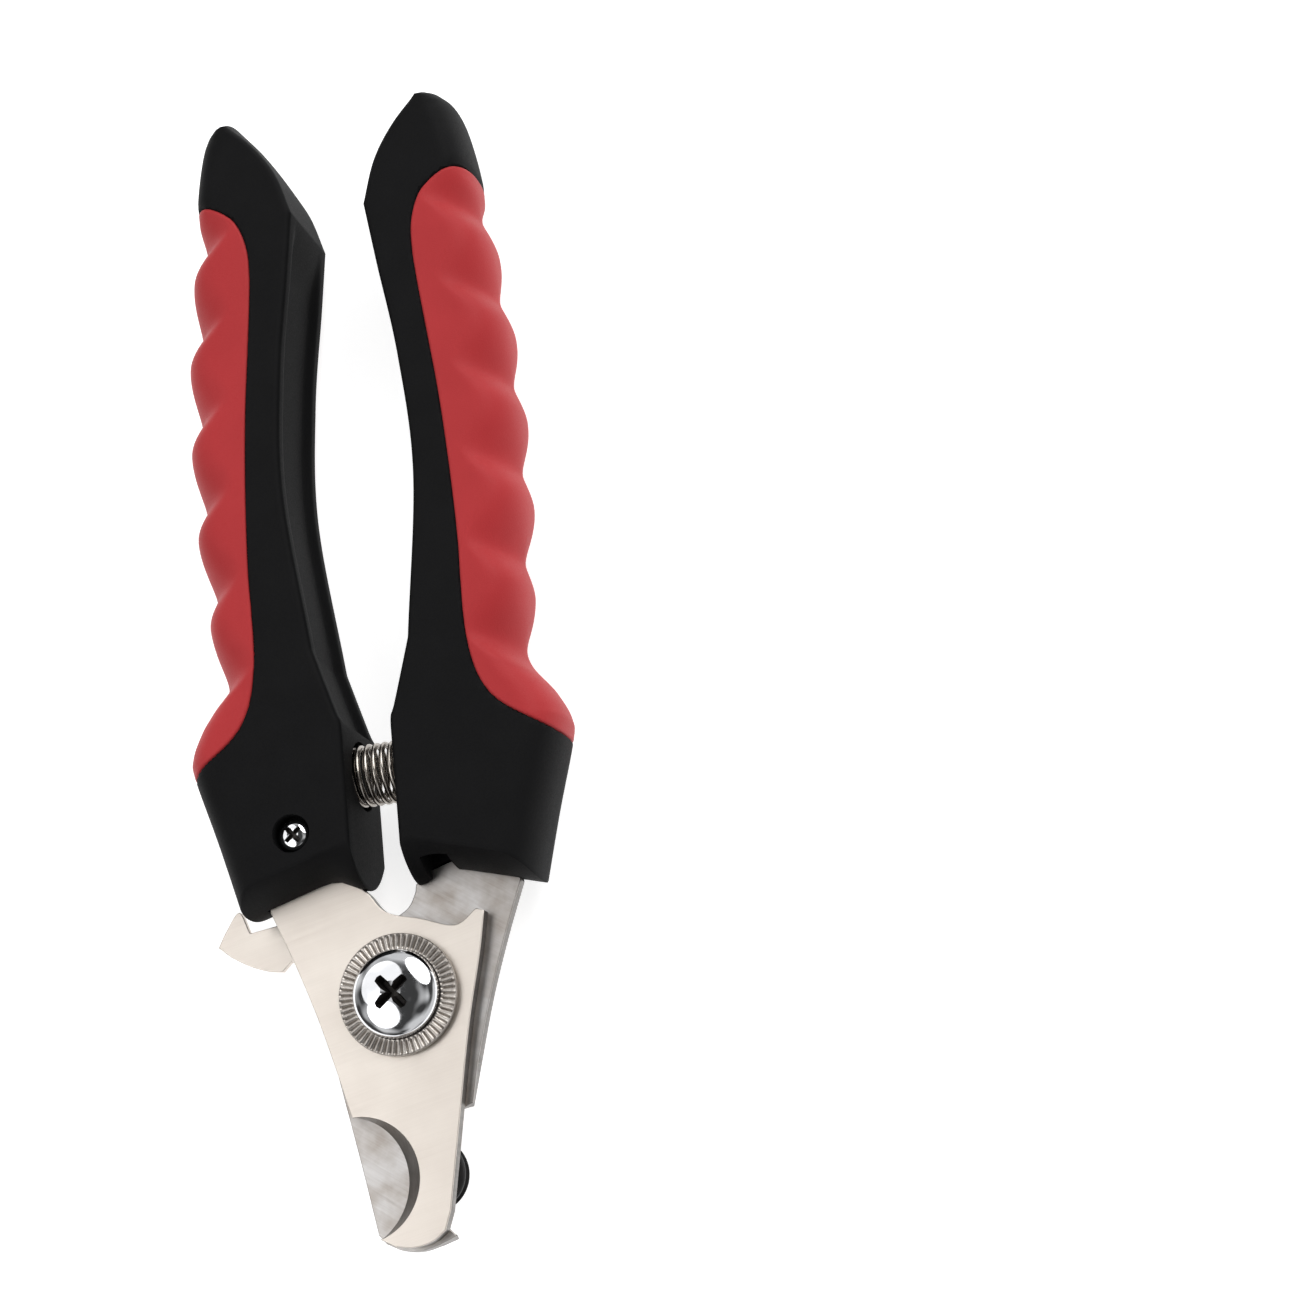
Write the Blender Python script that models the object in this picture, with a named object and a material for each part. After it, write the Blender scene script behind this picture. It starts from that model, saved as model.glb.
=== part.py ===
"""Plier-style claw clipper: two steel blades on one pivot, two handles, a return spring,
a swinging stop plate behind the blades and a lock catch on the back.

Lengths below are millimetres; MM turns them to metres. Every shape is laid out about the pivot
axis, X = Y = 0, with +Y towards the handle ends, +Z towards the front and Z = 0 where the blades
shear. TABLE_DROP then lifts it all, so that the origin is on the pivot axis in the plane that the
clipper lies on. It is modelled closed, with the catch swung clear of its stud.
"""

import math

import bmesh
import bpy
from mathutils import Vector

MM = 0.001
GAP = 0.3
TABLE_DROP = 8.0

# Blades and the stack on the pivot screw
BLADE_THICK = 2.0
BLADE_CLEAR = 0.15
SCREW_R = 2.5
BORE_R = SCREW_R + GAP
HEAD_R = 5.9
HEAD_HIGH = 2.7
HEAD_RIM = 0.5
DRIVE = (2.35, 1.25, 2.0)  # reach, width and depth of the cross recess
WASHER_R = 8.1
WASHER_THICK = 0.9
WASHER_TEETH = 60
TOOTH_DEEP = 0.25
NYLON_R = 6.0
NYLON_THICK = 0.5
GUARD_THICK = 1.0
WAVE_R = 5.5
WAVE_THICK = 0.4
WAVE_RISE = 0.1
FLAT_R = 5.0
FLAT_THICK = 0.4
NUT_FLATS = 8.0
NUT_THICK = 2.0
PAD_AT = (0.8, -23.2)
PAD_R = 4.8
PAD_NECK_R = 1.8
PAD_DOME = 1.5
GUARD_END_R = 3.9

# Handles
HALF_THICK = 8.0
LEFT_MID = 1.7
RIGHT_MID = 0.0
EDGE_BEVEL = 0.8
CHANNEL_DEEP = 1.0
CHANNEL_HALF = 4.6
RIDGE_HALF = 6.0
INNER_X = 3.15
STEP_Y = 36.6
HEEL_Y = 111.5
HEEL_X = 5.1
TIP_Y = 129.0
BUMP_FIRST = 52.6
BUMP_PITCH = 12.9
BUMP_COUNT = 5
BUMP_HIGH = 0.75
BUMP_FADE = 3.0
GRIP_THICK = 1.9
CORE_INSET = 2.4
TURN_WIDE = 5.4
CAP_TURN_WIDE = 3.9
CAP_Y = 116.0
TURN_POWER = 0.85
TIP_CROWN = 2.3
LIP = (20.0, 0.29)  # height at the inner face and slope across the handle
NOSE_DROP = (2.2, 3.1, 3.0)  # drop, what the inner side adds to it and over what width
POCKET = [(5.2, 8.0), (9.0, 8.0), (9.0, 24.0), (5.2, 24.0)]
POCKET_DEEP = 5.8

# Handle screw, spring and lock catch
SCREW_AT = (11.0, 22.1)
SMALL_HEAD_R = 2.1
SMALL_HEAD_HIGH = 1.4
SMALL_SHANK_R = 1.1
SMALL_RECESS = 0.7
SMALL_RIM = 0.6
SMALL_DRIVE = (1.3, 0.65, 0.9)
SMALL_LONG = 5.0
COUNTERBORE_R = 2.6
SPRING_Y = 30.5
SPRING_Z = 0.85
SPRING_R = 3.9
WIRE_R = 0.4
SPRING_PITCH = 1.15
SEAT_DEEP = 8.3
SEAT_R = 4.8
POST_R = 2.9
CATCH_AT = (8.5, 29.0)
CATCH_REACH = 14.5
CATCH_WIDE = 5.0
CATCH_THICK = 0.8
CATCH_PARKED = 95.0
STUD_R = 1.0
STUD_HEAD_R = 1.8
STUD_END = -4.4
RIVET_R = 1.2
RIVET_HEAD_R = 2.2
RIVET_END = -4.6
BAY = [(-1.0, 25.4), (12.2, 25.4), (12.2, 49.6), (-1.0, 49.6)]

FRONT_LOW, FRONT_HIGH = BLADE_CLEAR, BLADE_CLEAR + BLADE_THICK
REAR_HIGH, REAR_LOW = -BLADE_CLEAR, -BLADE_CLEAR - BLADE_THICK
WASHER_LOW = FRONT_HIGH + GAP
WASHER_TOP = WASHER_LOW + WASHER_THICK
HEAD_LOW = WASHER_TOP + GAP
NYLON_TOP = REAR_LOW - GAP
GUARD_TOP = NYLON_TOP - NYLON_THICK - GAP
GUARD_LOW = GUARD_TOP - GUARD_THICK
WAVE_TOP = GUARD_LOW - GAP
FLAT_TOP = WAVE_TOP - WAVE_THICK - GAP
NUT_TOP = FLAT_TOP - FLAT_THICK - GAP
NUT_LOW = NUT_TOP - NUT_THICK


# ---------------------------------------------------------------- curves
def curve_through(points, steps=6):
    """Points along a smooth open curve that passes through every control point."""
    ends = [2 * Vector(points[0]) - Vector(points[1]), 2 * Vector(points[-1]) - Vector(points[-2])]
    knots = [ends[0]] + [Vector(p) for p in points] + [ends[1]]
    path = []
    for a, b, c, d in zip(knots, knots[1:], knots[2:], knots[3:]):
        for i in range(steps):
            t = i / steps
            square = (2 * a - 5 * b + 4 * c - d) * t**2
            path.append(0.5 * (2 * b + (c - a) * t + square + (3 * b - a - 3 * c + d) * t**3))
    path.append(knots[-2])
    return [tuple(p) for p in path]


def arc(centre, radius, start, end, steps):
    """Points on a circle from one angle to another, in degrees."""
    turns = [math.radians(start + (end - start) * i / steps) for i in range(steps + 1)]
    return [(centre[0] + radius * math.cos(t), centre[1] + radius * math.sin(t)) for t in turns]


def read_curve(points, y):
    """X of a curve that climbs in Y, read at a height."""
    for (x0, y0), (x1, y1) in zip(points, points[1:]):
        if y <= y1:
            return x0 + (x1 - x0) * (y - y0) / (y1 - y0)
    return points[-1][0]


def arc_through(start, middle, end, steps):
    """Points on the circle through three points, from the first to the last."""
    (ax, ay), (bx, by), (cx, cy) = start, middle, end
    d = 2 * (ax * (by - cy) + bx * (cy - ay) + cx * (ay - by))
    a2, b2, c2 = ax * ax + ay * ay, bx * bx + by * by, cx * cx + cy * cy
    across = (a2 * (by - cy) + b2 * (cy - ay) + c2 * (ay - by)) / d
    up = (a2 * (cx - bx) + b2 * (ax - cx) + c2 * (bx - ax)) / d
    centre = Vector((across, up))
    turns = [math.degrees(math.atan2(p[1] - centre.y, p[0] - centre.x)) for p in (start, middle, end)]
    sweep = (turns[2] - turns[0]) % 360
    if (turns[1] - turns[0]) % 360 > sweep:
        sweep -= 360
    return arc(centre, (Vector(start) - centre).length, turns[0], turns[0] + sweep, steps)


def grown(outline, by):
    """The outline moved outwards by a distance; it runs anticlockwise."""
    moved = []
    for i, here in enumerate(outline):
        before, after = Vector(outline[i - 1]), Vector(outline[(i + 1) % len(outline)])
        one = (Vector(here) - before).normalized()
        two = (after - Vector(here)).normalized()
        normal = Vector((one.y + two.y, -one.x - two.x)).normalized()
        lean = max(0.5, normal.dot(Vector((one.y, -one.x))))
        moved.append(tuple(Vector(here) + normal * by / lean))
    return moved


# ---------------------------------------------------------------- solids
def add_object(name, form, look, origin=(0, 0, 0)):
    """Turns a bmesh in millimetres into a named object whose origin is at the given point."""
    form.normal_update()
    bmesh.ops.recalc_face_normals(form, faces=form.faces)
    bmesh.ops.translate(form, verts=form.verts, vec=-Vector(origin))
    bmesh.ops.scale(form, verts=form.verts, vec=(MM, MM, MM))
    mesh = bpy.data.meshes.new(name)
    form.to_mesh(mesh)
    form.free()
    obj = bpy.data.objects.new(name, mesh)
    obj.location = (Vector(origin) + Vector((0, 0, TABLE_DROP))) * MM
    bpy.context.scene.collection.objects.link(obj)
    if look:
        mesh.materials.append(look)
        mesh.shade_smooth()
        mesh.set_sharp_from_angle(angle=math.radians(30))
    else:
        obj.hide_render = True
        obj.display_type = "WIRE"
    return obj


def rings_solid(rings):
    """A closed solid through rings with the same number of points."""
    form = bmesh.new()
    loops = [[form.verts.new(p) for p in ring] for ring in rings]
    for low, high in zip(loops, loops[1:]):
        for i in range(len(low)):
            j = (i + 1) % len(low)
            form.faces.new((low[i], low[j], high[j], high[i]))
    form.faces.new(loops[0][::-1])
    form.faces.new(loops[-1])
    return form


def prism(outline, low, high, high_outline=None):
    """An outline in the XY plane carried from one height to another."""
    top = high_outline or outline
    return rings_solid([[(x, y, low) for x, y in outline], [(x, y, high) for x, y in top]])


def turned(profile, segments, centre=(0, 0), wave=None):
    """A profile of (radius, z) turned about Z; it may close on itself as a ring."""
    rings = []
    for i in range(segments):
        t = 2 * math.pi * i / segments
        lift = wave(t) if wave else 0
        x, y = math.cos(t), math.sin(t)
        rings.append([(centre[0] + r * x, centre[1] + r * y, z + lift) for r, z in profile])
    form = looped(rings)
    bmesh.ops.remove_doubles(form, verts=form.verts, dist=1e-5)
    return form


def looped(rings):
    """A closed solid through closed sections that come back to the first one."""
    form = bmesh.new()
    loops = [[form.verts.new(p) for p in ring] for ring in rings]
    for loop, after in zip(loops, loops[1:] + loops[:1]):
        for j in range(len(loop)):
            k = (j + 1) % len(loop)
            form.faces.new((loop[j], loop[k], after[k], after[j]))
    return form


def ring(outer, inner, low, high, segments=48, wave=None):
    """A plain washer."""
    return turned([(inner, low), (outer, low), (outer, high), (inner, high)], segments, wave=wave)


def bar(centre, radius, low, high, segments=24):
    """A round bar along Z."""
    return prism(arc(centre, radius, 0, 360, segments)[:-1], low, high)


def boolean(obj, operation, form, label):
    """Adds a Boolean with a hidden helper made from a bmesh."""
    helper = add_object(f"{obj.name}_{label}", form, None)
    modifier = obj.modifiers.new(label, "BOOLEAN")
    modifier.operation = operation
    modifier.solver = "EXACT"
    modifier.object = helper


def cut(obj, form, label):
    boolean(obj, "DIFFERENCE", form, label)


def cross_recess(centre, top, drive):
    """A cross drive recess: two tapered slots that meet on the screw's axis."""
    reach, wide, deep = drive
    outline = []
    for quarter in range(4):
        turn = math.radians(90 * quarter + 40)
        for along, across in ((wide / 2, -wide / 2), (reach, -wide / 2), (reach, wide / 2)):
            x = along * math.cos(turn) - across * math.sin(turn)
            y = along * math.sin(turn) + across * math.cos(turn)
            outline.append((centre[0] + x, centre[1] + y))
    cx, cy = centre
    floor = [(cx + (x - cx) * 0.45, cy + (y - cy) * 0.45) for x, y in outline]
    return prism(floor, top - deep, top + deep * 0.3, outline)


# ---------------------------------------------------------------- finishes
def finish(name, colour, metallic, roughness):
    look = bpy.data.materials.new(name)
    look.use_nodes = True
    shader = look.node_tree.nodes["Principled BSDF"]
    shader.inputs["Base Color"].default_value = (*colour, 1)
    shader.inputs["Metallic"].default_value = metallic
    shader.inputs["Roughness"].default_value = roughness
    return look


# ---------------------------------------------------------------- blades
# The notch is an arc through a mouth, a middle and a lip. Its ground bevel runs from the wider
# arc on the blade's outer face to the cutting edge on the face that shears. X is for the rear
# blade; the front one takes its mirror image and has the longer lip.
OUTER_NOTCH = [(7.7, -15.2), (-0.5, -25.4)]
CUTTING_EDGE = [(8.1, -14.9), (1.3, -24.8)]
FRONT_LIP = {"outer": (-5.1, -31.1), "edge": (-5.6, -31.0)}
REAR_LIP = {"outer": (4.2, -31.9), "edge": (4.6, -31.6)}


def blade_front_outline(face):
    """The front blade's outline, anticlockwise, on its outer face or the face with the edge."""
    notch = OUTER_NOTCH if face == "outer" else CUTTING_EDGE
    left_edge = curve_through([(-17.2, 13.5), (-14.4, 6.5), (-11.6, -1.5), (-9.2, -9.8)], 4)
    bite = arc_through(*[(-x, y) for x, y in notch], FRONT_LIP[face], 24)
    tip = curve_through([(-3.2, -32.2), (-0.6, -32.6), (1.9, -32.1), (3.7, -30.9)], 3)
    right_edge = curve_through([(4.6, -28.5), (6.2, -20.0), (8.9, -5.8), (11.3, 4.1), (12.4, 9.7)], 4)
    saddle = curve_through([(11.3, 10.1), (8.3, 8.3), (3.6, 9.8), (-1.0, 11.3), (-3.3, 14.1)], 4)
    tang = [(-5.8, 16.6), (-5.8, 22.5), (-9.3, 25.0), (-9.3, 33.0), (-15.8, 33.0), (-16.6, 18.0)]
    return left_edge + bite + tip + right_edge + saddle + tang


def blade_rear_outline(face):
    """The rear blade's outline, anticlockwise: a broader back edge and the notch on its right."""
    notch = OUTER_NOTCH if face == "outer" else CUTTING_EDGE
    left_edge = curve_through([(-13.2, 9.2), (-11.0, -4.2), (-7.9, -20.0), (-6.0, -30.4)], 4)
    tip = curve_through([(-5.0, -31.6), (-2.8, -32.7), (-0.4, -33.0), (2.2, -32.5)], 3)
    bite = arc_through(*notch, REAR_LIP[face], 24)[::-1]
    right_edge = curve_through([(9.2, -9.8), (11.6, -1.5), (14.4, 6.5), (17.2, 13.5)], 4)
    tang = [(16.6, 18.0), (15.8, 33.0), (9.3, 33.0), (9.3, 17.8), (4.6, 16.4)]
    seat = [(2.7, 14.9), (2.3, 13.4), (0.8, 11.5), (-3.6, 9.8), (-8.3, 8.5), (-12.2, 10.3)]
    return left_edge + tip + bite + right_edge + tang + curve_through(seat, 4)


def build_blades(steel):
    front = add_object(
        "front_blade",
        prism(blade_front_outline("edge"), FRONT_LOW, FRONT_HIGH, blade_front_outline("outer")),
        steel,
    )
    rear = add_object(
        "rear_blade",
        prism(blade_rear_outline("outer"), REAR_LOW, REAR_HIGH, blade_rear_outline("edge")),
        steel,
    )
    for obj, side in ((front, -1), (rear, 1)):
        cut(obj, bar((0, 0), BORE_R, -5, 5, 32), "pivot_bore")
        cut(obj, bar((side * SCREW_AT[0], SCREW_AT[1]), SMALL_SHANK_R + GAP, -5, 5), "tang_hole")


# ---------------------------------------------------------------- pivot stack
def build_pivot(chrome, washer_steel, nylon, plain):
    rim, crown = HEAD_LOW + HEAD_RIM, HEAD_HIGH - HEAD_RIM
    turns = [math.radians(a) for a in range(90, 0, -10)]
    dome = [(HEAD_R * math.sin(a), rim + crown * math.cos(a)) for a in turns]
    shank = [(0, -TABLE_DROP), (SCREW_R, -TABLE_DROP), (SCREW_R, HEAD_LOW), (HEAD_R, HEAD_LOW)]
    obj = add_object("pivot_screw", turned(shank + dome + [(0, HEAD_LOW + HEAD_HIGH)], 36), chrome)
    cut(obj, cross_recess((0, 0), HEAD_LOW + HEAD_HIGH, DRIVE), "drive")

    add_object("serrated_washer", serrated_ring(), washer_steel)
    add_object("guard_washer", ring(NYLON_R, BORE_R, NYLON_TOP - NYLON_THICK, NYLON_TOP, 36), nylon)
    add_object(
        "wave_washer",
        ring(WAVE_R, BORE_R, WAVE_TOP - WAVE_THICK, WAVE_TOP, 60, wave_height),
        plain,
    )
    add_object("nut_washer", ring(FLAT_R, BORE_R, FLAT_TOP - FLAT_THICK, FLAT_TOP, 36), plain)
    corner = NUT_FLATS / 2 / math.cos(math.radians(30))
    hexagon = arc((0, 0), corner, 0, 360, 6)[:-1]
    nut = add_object("pivot_nut", prism(hexagon, NUT_LOW, NUT_TOP), plain)
    cut(nut, bar((0, 0), BORE_R, NUT_LOW - 1, NUT_TOP + 1, 32), "thread")


def wave_height(t):
    """How far the wave washer rises at an angle: three waves round it."""
    return WAVE_RISE * math.cos(3 * t)


def serrated_ring():
    """A washer whose upper face carries radial teeth outside the screw head."""
    rings = []
    steps = WASHER_TEETH * 2
    for i in range(steps):
        t = 2 * math.pi * i / steps
        top = WASHER_TOP - (TOOTH_DEEP if i % 2 else 0)
        profile = [
            (BORE_R, WASHER_LOW),
            (WASHER_R, WASHER_LOW),
            (WASHER_R, top - 0.1),
            (WASHER_R - 0.2, top),
            (HEAD_R, top),
            (HEAD_R - 0.3, WASHER_TOP - TOOTH_DEEP),
            (BORE_R, WASHER_TOP - TOOTH_DEEP),
        ]
        rings.append([(r * math.cos(t), r * math.sin(t), z) for r, z in profile])
    return looped(rings)


# ---------------------------------------------------------------- stop plate
def guard_outline():
    tail_end = curve_through([(-22.2, 12.2), (-23.6, 15.3), (-25.6, 13.0), (-26.9, 10.8)], 3)
    tail_edge = curve_through([(-25.1, 9.2), (-22.6, 7.7), (-20.1, 6.7), (-17.9, 6.3)], 3)
    elbow = curve_through([(-16.6, 7.5), (-12.5, 5.0), (-7.6, -0.5), (-3.6, -8.0)], 4)
    end = arc(PAD_AT, GUARD_END_R, 185, 355, 12)
    hub = curve_through([(4.4, -8.0), (7.2, 0.0), (4.5, 6.0), (-3.0, 8.2)], 5)
    top = [(-11.0, 13.4), (-18.3, 12.7)]
    return tail_end + tail_edge + elbow + end + hub + top


def build_guard(steel, rubber):
    plate = add_object("guard_plate", prism(guard_outline(), GUARD_LOW, GUARD_TOP), steel)
    cut(plate, bar((0, 0), BORE_R, GUARD_LOW - 1, GUARD_TOP + 1, 32), "pivot_bore")
    cut(plate, bar(PAD_AT, PAD_NECK_R + GAP, GUARD_LOW - 1, GUARD_TOP + 1), "pad_hole")
    above, below = GUARD_TOP + GAP, GUARD_LOW - GAP
    turns = [math.radians(a) for a in range(0, 90, 15)]
    dome = [(PAD_R * math.cos(a), below - PAD_DOME * math.sin(a)) for a in turns]
    disc = [(0, NYLON_TOP), (PAD_R, NYLON_TOP), (PAD_R, above), (PAD_NECK_R, above), (PAD_NECK_R, below)]
    add_object("stop_pad", turned(disc + dome + [(0, below - PAD_DOME)], 36, PAD_AT), rubber)


# ---------------------------------------------------------------- handles
# Each handle is laid out as the right one. INNER and OUTER are its two sides seen from the
# front, and BORDER is the edge of the soft grip, which lies on the outer side of it.
HOLLOW = [(3.9, 38.2), (6.5, 47.0), (9.1, 70.0), (8.3, 87.5), (6.3, 102.3), (HEEL_X, HEEL_Y)]
INNER = (
    [(INNER_X, 5.0), (INNER_X, STEP_Y)]
    + curve_through(HOLLOW, 8)
    + curve_through([(HEEL_X, HEEL_Y), (7.1, 118.2), (10.1, 123.8), (14.0, TIP_Y)], 6)[1:]
)
OUTER = curve_through(
    [
        (18.2, 5.0), (22.6, 21.5), (25.7, 32.0), (25.9, 35.0), (24.4, 38.4), (21.6, 43.0), (21.6, 50.0),
        (22.5, 60.0), (23.1, 72.0), (22.9, 86.0), (22.0, 98.0), (20.6, 110.0), (20.2, 117.5), (18.7, 125.5),
        (16.8, 128.2), (15.2, TIP_Y),
    ],
    8,
)  # fmt: skip
BORDER = curve_through(
    [
        (29.0, 31.0), (25.2, 31.8), (19.5, 35.2), (15.6, 40.0), (14.5, 48.0), (14.6, 60.0), (13.7, 80.5),
        (12.0, 99.0), (11.3, 104.5), (12.8, 110.9), (18.0, 114.8), (27.0, 116.5),
    ],
    6,
)  # fmt: skip


def scallop(y):
    """Height of the finger bumps at a height along the handle."""
    low, high = BUMP_FIRST - BUMP_PITCH / 2, BUMP_FIRST + BUMP_PITCH * (BUMP_COUNT - 0.5)
    if not low < y < high:
        return -BUMP_HIGH * math.exp(-min(abs(y - low), abs(y - high)) / BUMP_FADE)
    return BUMP_HIGH * math.cos(2 * math.pi * (y - BUMP_FIRST) / BUMP_PITCH)


def round_wide(y):
    """How far in from the outer side the flat faces start to turn."""
    return CAP_TURN_WIDE if y > CAP_Y else TURN_WIDE


def skin_section(y):
    """The handle's full section at a height: grooved inner face, flat faces, round outer side."""
    inner, outer = read_curve(INNER, y), read_curve(OUTER, y) + scallop(y)
    wide = outer - inner
    bevel = min(EDGE_BEVEL, 0.2 * wide)
    groove = min(CHANNEL_DEEP, 0.1 * wide) if STEP_Y < y < HEEL_Y - 1 else 0.02
    turn = min(round_wide(y), 0.6 * wide)
    points = [
        (inner + bevel, HALF_THICK), (inner, HALF_THICK - bevel), (inner, RIDGE_HALF),
        (inner + groove, CHANNEL_HALF), (inner + groove, -CHANNEL_HALF),
        (inner, -RIDGE_HALF), (inner, bevel - HALF_THICK), (inner + bevel, -HALF_THICK),
    ]  # fmt: skip
    for i in range(11):
        t = math.radians(-90 + 18 * i)
        across = abs(math.cos(t)) ** TURN_POWER
        up = math.copysign(abs(math.sin(t)) ** TURN_POWER, t)
        points.append((outer - turn + turn * across, up * HALF_THICK))
    return points


def crowned(y, z):
    """Height of a skin point: towards the tip the sections bow, so that the end is rounded."""
    share = max(0.0, (y - HEEL_Y) / (TIP_Y - HEEL_Y))
    return y - TIP_CROWN * share**2 * (z / HALF_THICK) ** 2


def core_section(y, inset):
    """The section left under the grip."""
    inner, outer = read_curve(INNER, y) + CORE_INSET, read_curve(OUTER, y) - BUMP_HIGH - inset
    high = HALF_THICK - inset
    points = [(inner, high), (inner, -high)]
    for i in range(7):
        t = math.radians(-90 + 30 * i)
        points.append((outer - 4.4 + 4.4 * math.cos(t), high * math.sin(t)))
    return points


def stations(along):
    """Heights of the sections, closer together at the step, the heel and the tip."""
    heights = [8.0, 14.0, 20.0, 26.0, 31.0, 33.5, STEP_Y - 1.2, STEP_Y - 0.05, STEP_Y + 0.4]
    count = round((HEEL_Y - 40.0) / along)
    heights += [40.0 + (HEEL_Y - 40.0) * i / count for i in range(count + 1)]
    return heights + [113.6, 116.0, 118.5, 121.0, 123.2, 125.2, 126.8, 128.0, 128.7, TIP_Y]


def end_height(x, z):
    """Where the handle stops: a sloping lip on both faces that drops to a nose at mid thickness."""
    top, slope = LIP
    everywhere, inside, width = NOSE_DROP
    across = x - INNER_X
    drop = everywhere + inside * math.exp(-((across / width) ** 2))
    return top - slope * across - drop * max(0.0, 1 - (z / HALF_THICK) ** 2) ** 0.8


def end_cutter(place):
    """Everything beyond the handle's lower end."""
    xs = [1.0 + 2.5 * i for i in range(12)]
    zs = [-9.0 + 1.5 * i for i in range(13)]
    form = bmesh.new()
    upper = [[form.verts.new(place(x, end_height(x, z), z)) for z in zs] for x in xs]
    lower = [[form.verts.new(place(x, 2.0, z)) for z in zs] for x in xs]
    for grid in (upper, lower):
        for a, b in zip(grid, grid[1:]):
            for i in range(len(zs) - 1):
                form.faces.new((a[i], a[i + 1], b[i + 1], b[i]))
    last, side = len(xs) - 1, len(zs) - 1
    rim = [(i, 0) for i in range(last)] + [(last, j) for j in range(side)]
    rim += [(i, side) for i in range(last, 0, -1)] + [(0, j) for j in range(side, 0, -1)]
    for (i, j), (k, m) in zip(rim, rim[1:] + rim[:1]):
        form.faces.new((upper[i][j], upper[k][m], lower[k][m], lower[i][j]))
    return form


def placed(form, place):
    """Moves a bmesh from the moulding's own frame to its side."""
    for vert in form.verts:
        vert.co = place(*vert.co)
    return form


def build_handle(side, mid, blade_outline, blade_low, blade_high):
    """One handle: the hard body and the soft grip let into it."""
    flip = -1 if side == "left" else 1

    def place(x, y, z):
        return Vector((flip * x, y, mid + z))

    def skin(along):
        heights = stations(along)
        return rings_solid([[place(x, crowned(y, z), z) for x, z in skin_section(y)] for y in heights])

    def core(inset):
        heights = [y for y in stations(6.0) if 27 < y < 120]
        return rings_solid([[place(x, y, z) for x, z in core_section(y, inset)] for y in heights])

    def grip_zone(by):
        zone = grown([(40.0, 31.0), (40.0, 116.5)] + BORDER[::-1], by)
        return placed(prism(zone, -12, 12), place)

    body = add_object(f"{side}_handle_body", skin(4.5), LOOKS["plastic"])
    cut(body, grip_zone(GAP / 2), "grip_zone")
    boolean(body, "UNION", core(GRIP_THICK + GAP), "core")
    cut(body, end_cutter(place), "end")
    slot = grown([(x, y) for x, y in blade_outline if y > 6], GAP)
    cut(body, prism(slot, blade_low - GAP, blade_high + GAP), "tang_slot")
    near, far = sorted((0.0, flip * POCKET_DEEP))
    cut(body, placed(prism(POCKET, near, far), place), "drain_pocket")
    build_screw(side, mid, flip, body)
    seat = turned([(POST_R, 2.0), (SEAT_R, 2.0), (SEAT_R, SEAT_DEEP), (POST_R, SEAT_DEEP)], 32)
    for vert in seat.verts:
        x, y, z = vert.co
        vert.co = (flip * z, SPRING_Y + x, SPRING_Z + y)
    cut(body, seat, "spring_seat")

    grip = add_object(f"{side}_grip", skin(BUMP_PITCH / 6), LOOKS["grip"])
    boolean(grip, "INTERSECT", grip_zone(-GAP / 2), "grip_zone")
    cut(grip, core(GRIP_THICK), "core")
    return body


def build_screw(side, mid, flip, body):
    """The cross-head screw that holds the tang, driven from the outer face of its handle."""
    up = 1 if side == "left" else -1
    face = mid + up * HALF_THICK
    centre = (flip * SCREW_AT[0], SCREW_AT[1])
    top = face - up * SMALL_RECESS
    under = top - up * SMALL_HEAD_HIGH
    end = mid - up * SMALL_LONG
    crown = SMALL_HEAD_HIGH - SMALL_RIM
    turns = [math.radians(a) for a in range(90, 0, -15)]
    dome = [(SMALL_HEAD_R * math.sin(a), under + up * (SMALL_RIM + crown * math.cos(a))) for a in turns]
    shank = [(0, end), (SMALL_SHANK_R, end), (SMALL_SHANK_R, under), (SMALL_HEAD_R, under)]
    form = turned(shank + dome + [(0, top)], 24, centre)
    screw = add_object(f"{side}_handle_screw", form, LOOKS["chrome"])
    drive = cross_recess(centre, 0, SMALL_DRIVE)
    for vert in drive.verts:
        vert.co.z = top + up * vert.co.z
    cut(screw, drive, "drive")
    low, high = sorted((under - up * GAP, face + up))
    cut(body, bar(centre, COUNTERBORE_R, low, high), "counterbore")
    low, high = sorted((end - up * GAP, face))
    cut(body, bar(centre, SMALL_SHANK_R + GAP, low, high), "screw_hole")


# ---------------------------------------------------------------- spring and catch
def build_spring(wire):
    """A compression spring along X between the two seats."""
    half = SEAT_DEEP - GAP - WIRE_R
    turns = 2 * half / SPRING_PITCH
    steps = int(turns * 11)
    rings = []
    for i in range(steps + 1):
        t = 2 * math.pi * turns * i / steps
        x = -half + 2 * half * i / steps
        ring_points = []
        for k in range(5):
            w = 2 * math.pi * k / 5
            r = SPRING_R + WIRE_R * math.cos(w)
            y, z = SPRING_Y + r * math.cos(t), SPRING_Z + r * math.sin(t)
            ring_points.append((x + WIRE_R * math.sin(w), y, z))
        rings.append(ring_points)
    add_object("return_spring", rings_solid(rings), wire, (0, SPRING_Y, SPRING_Z))


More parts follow.
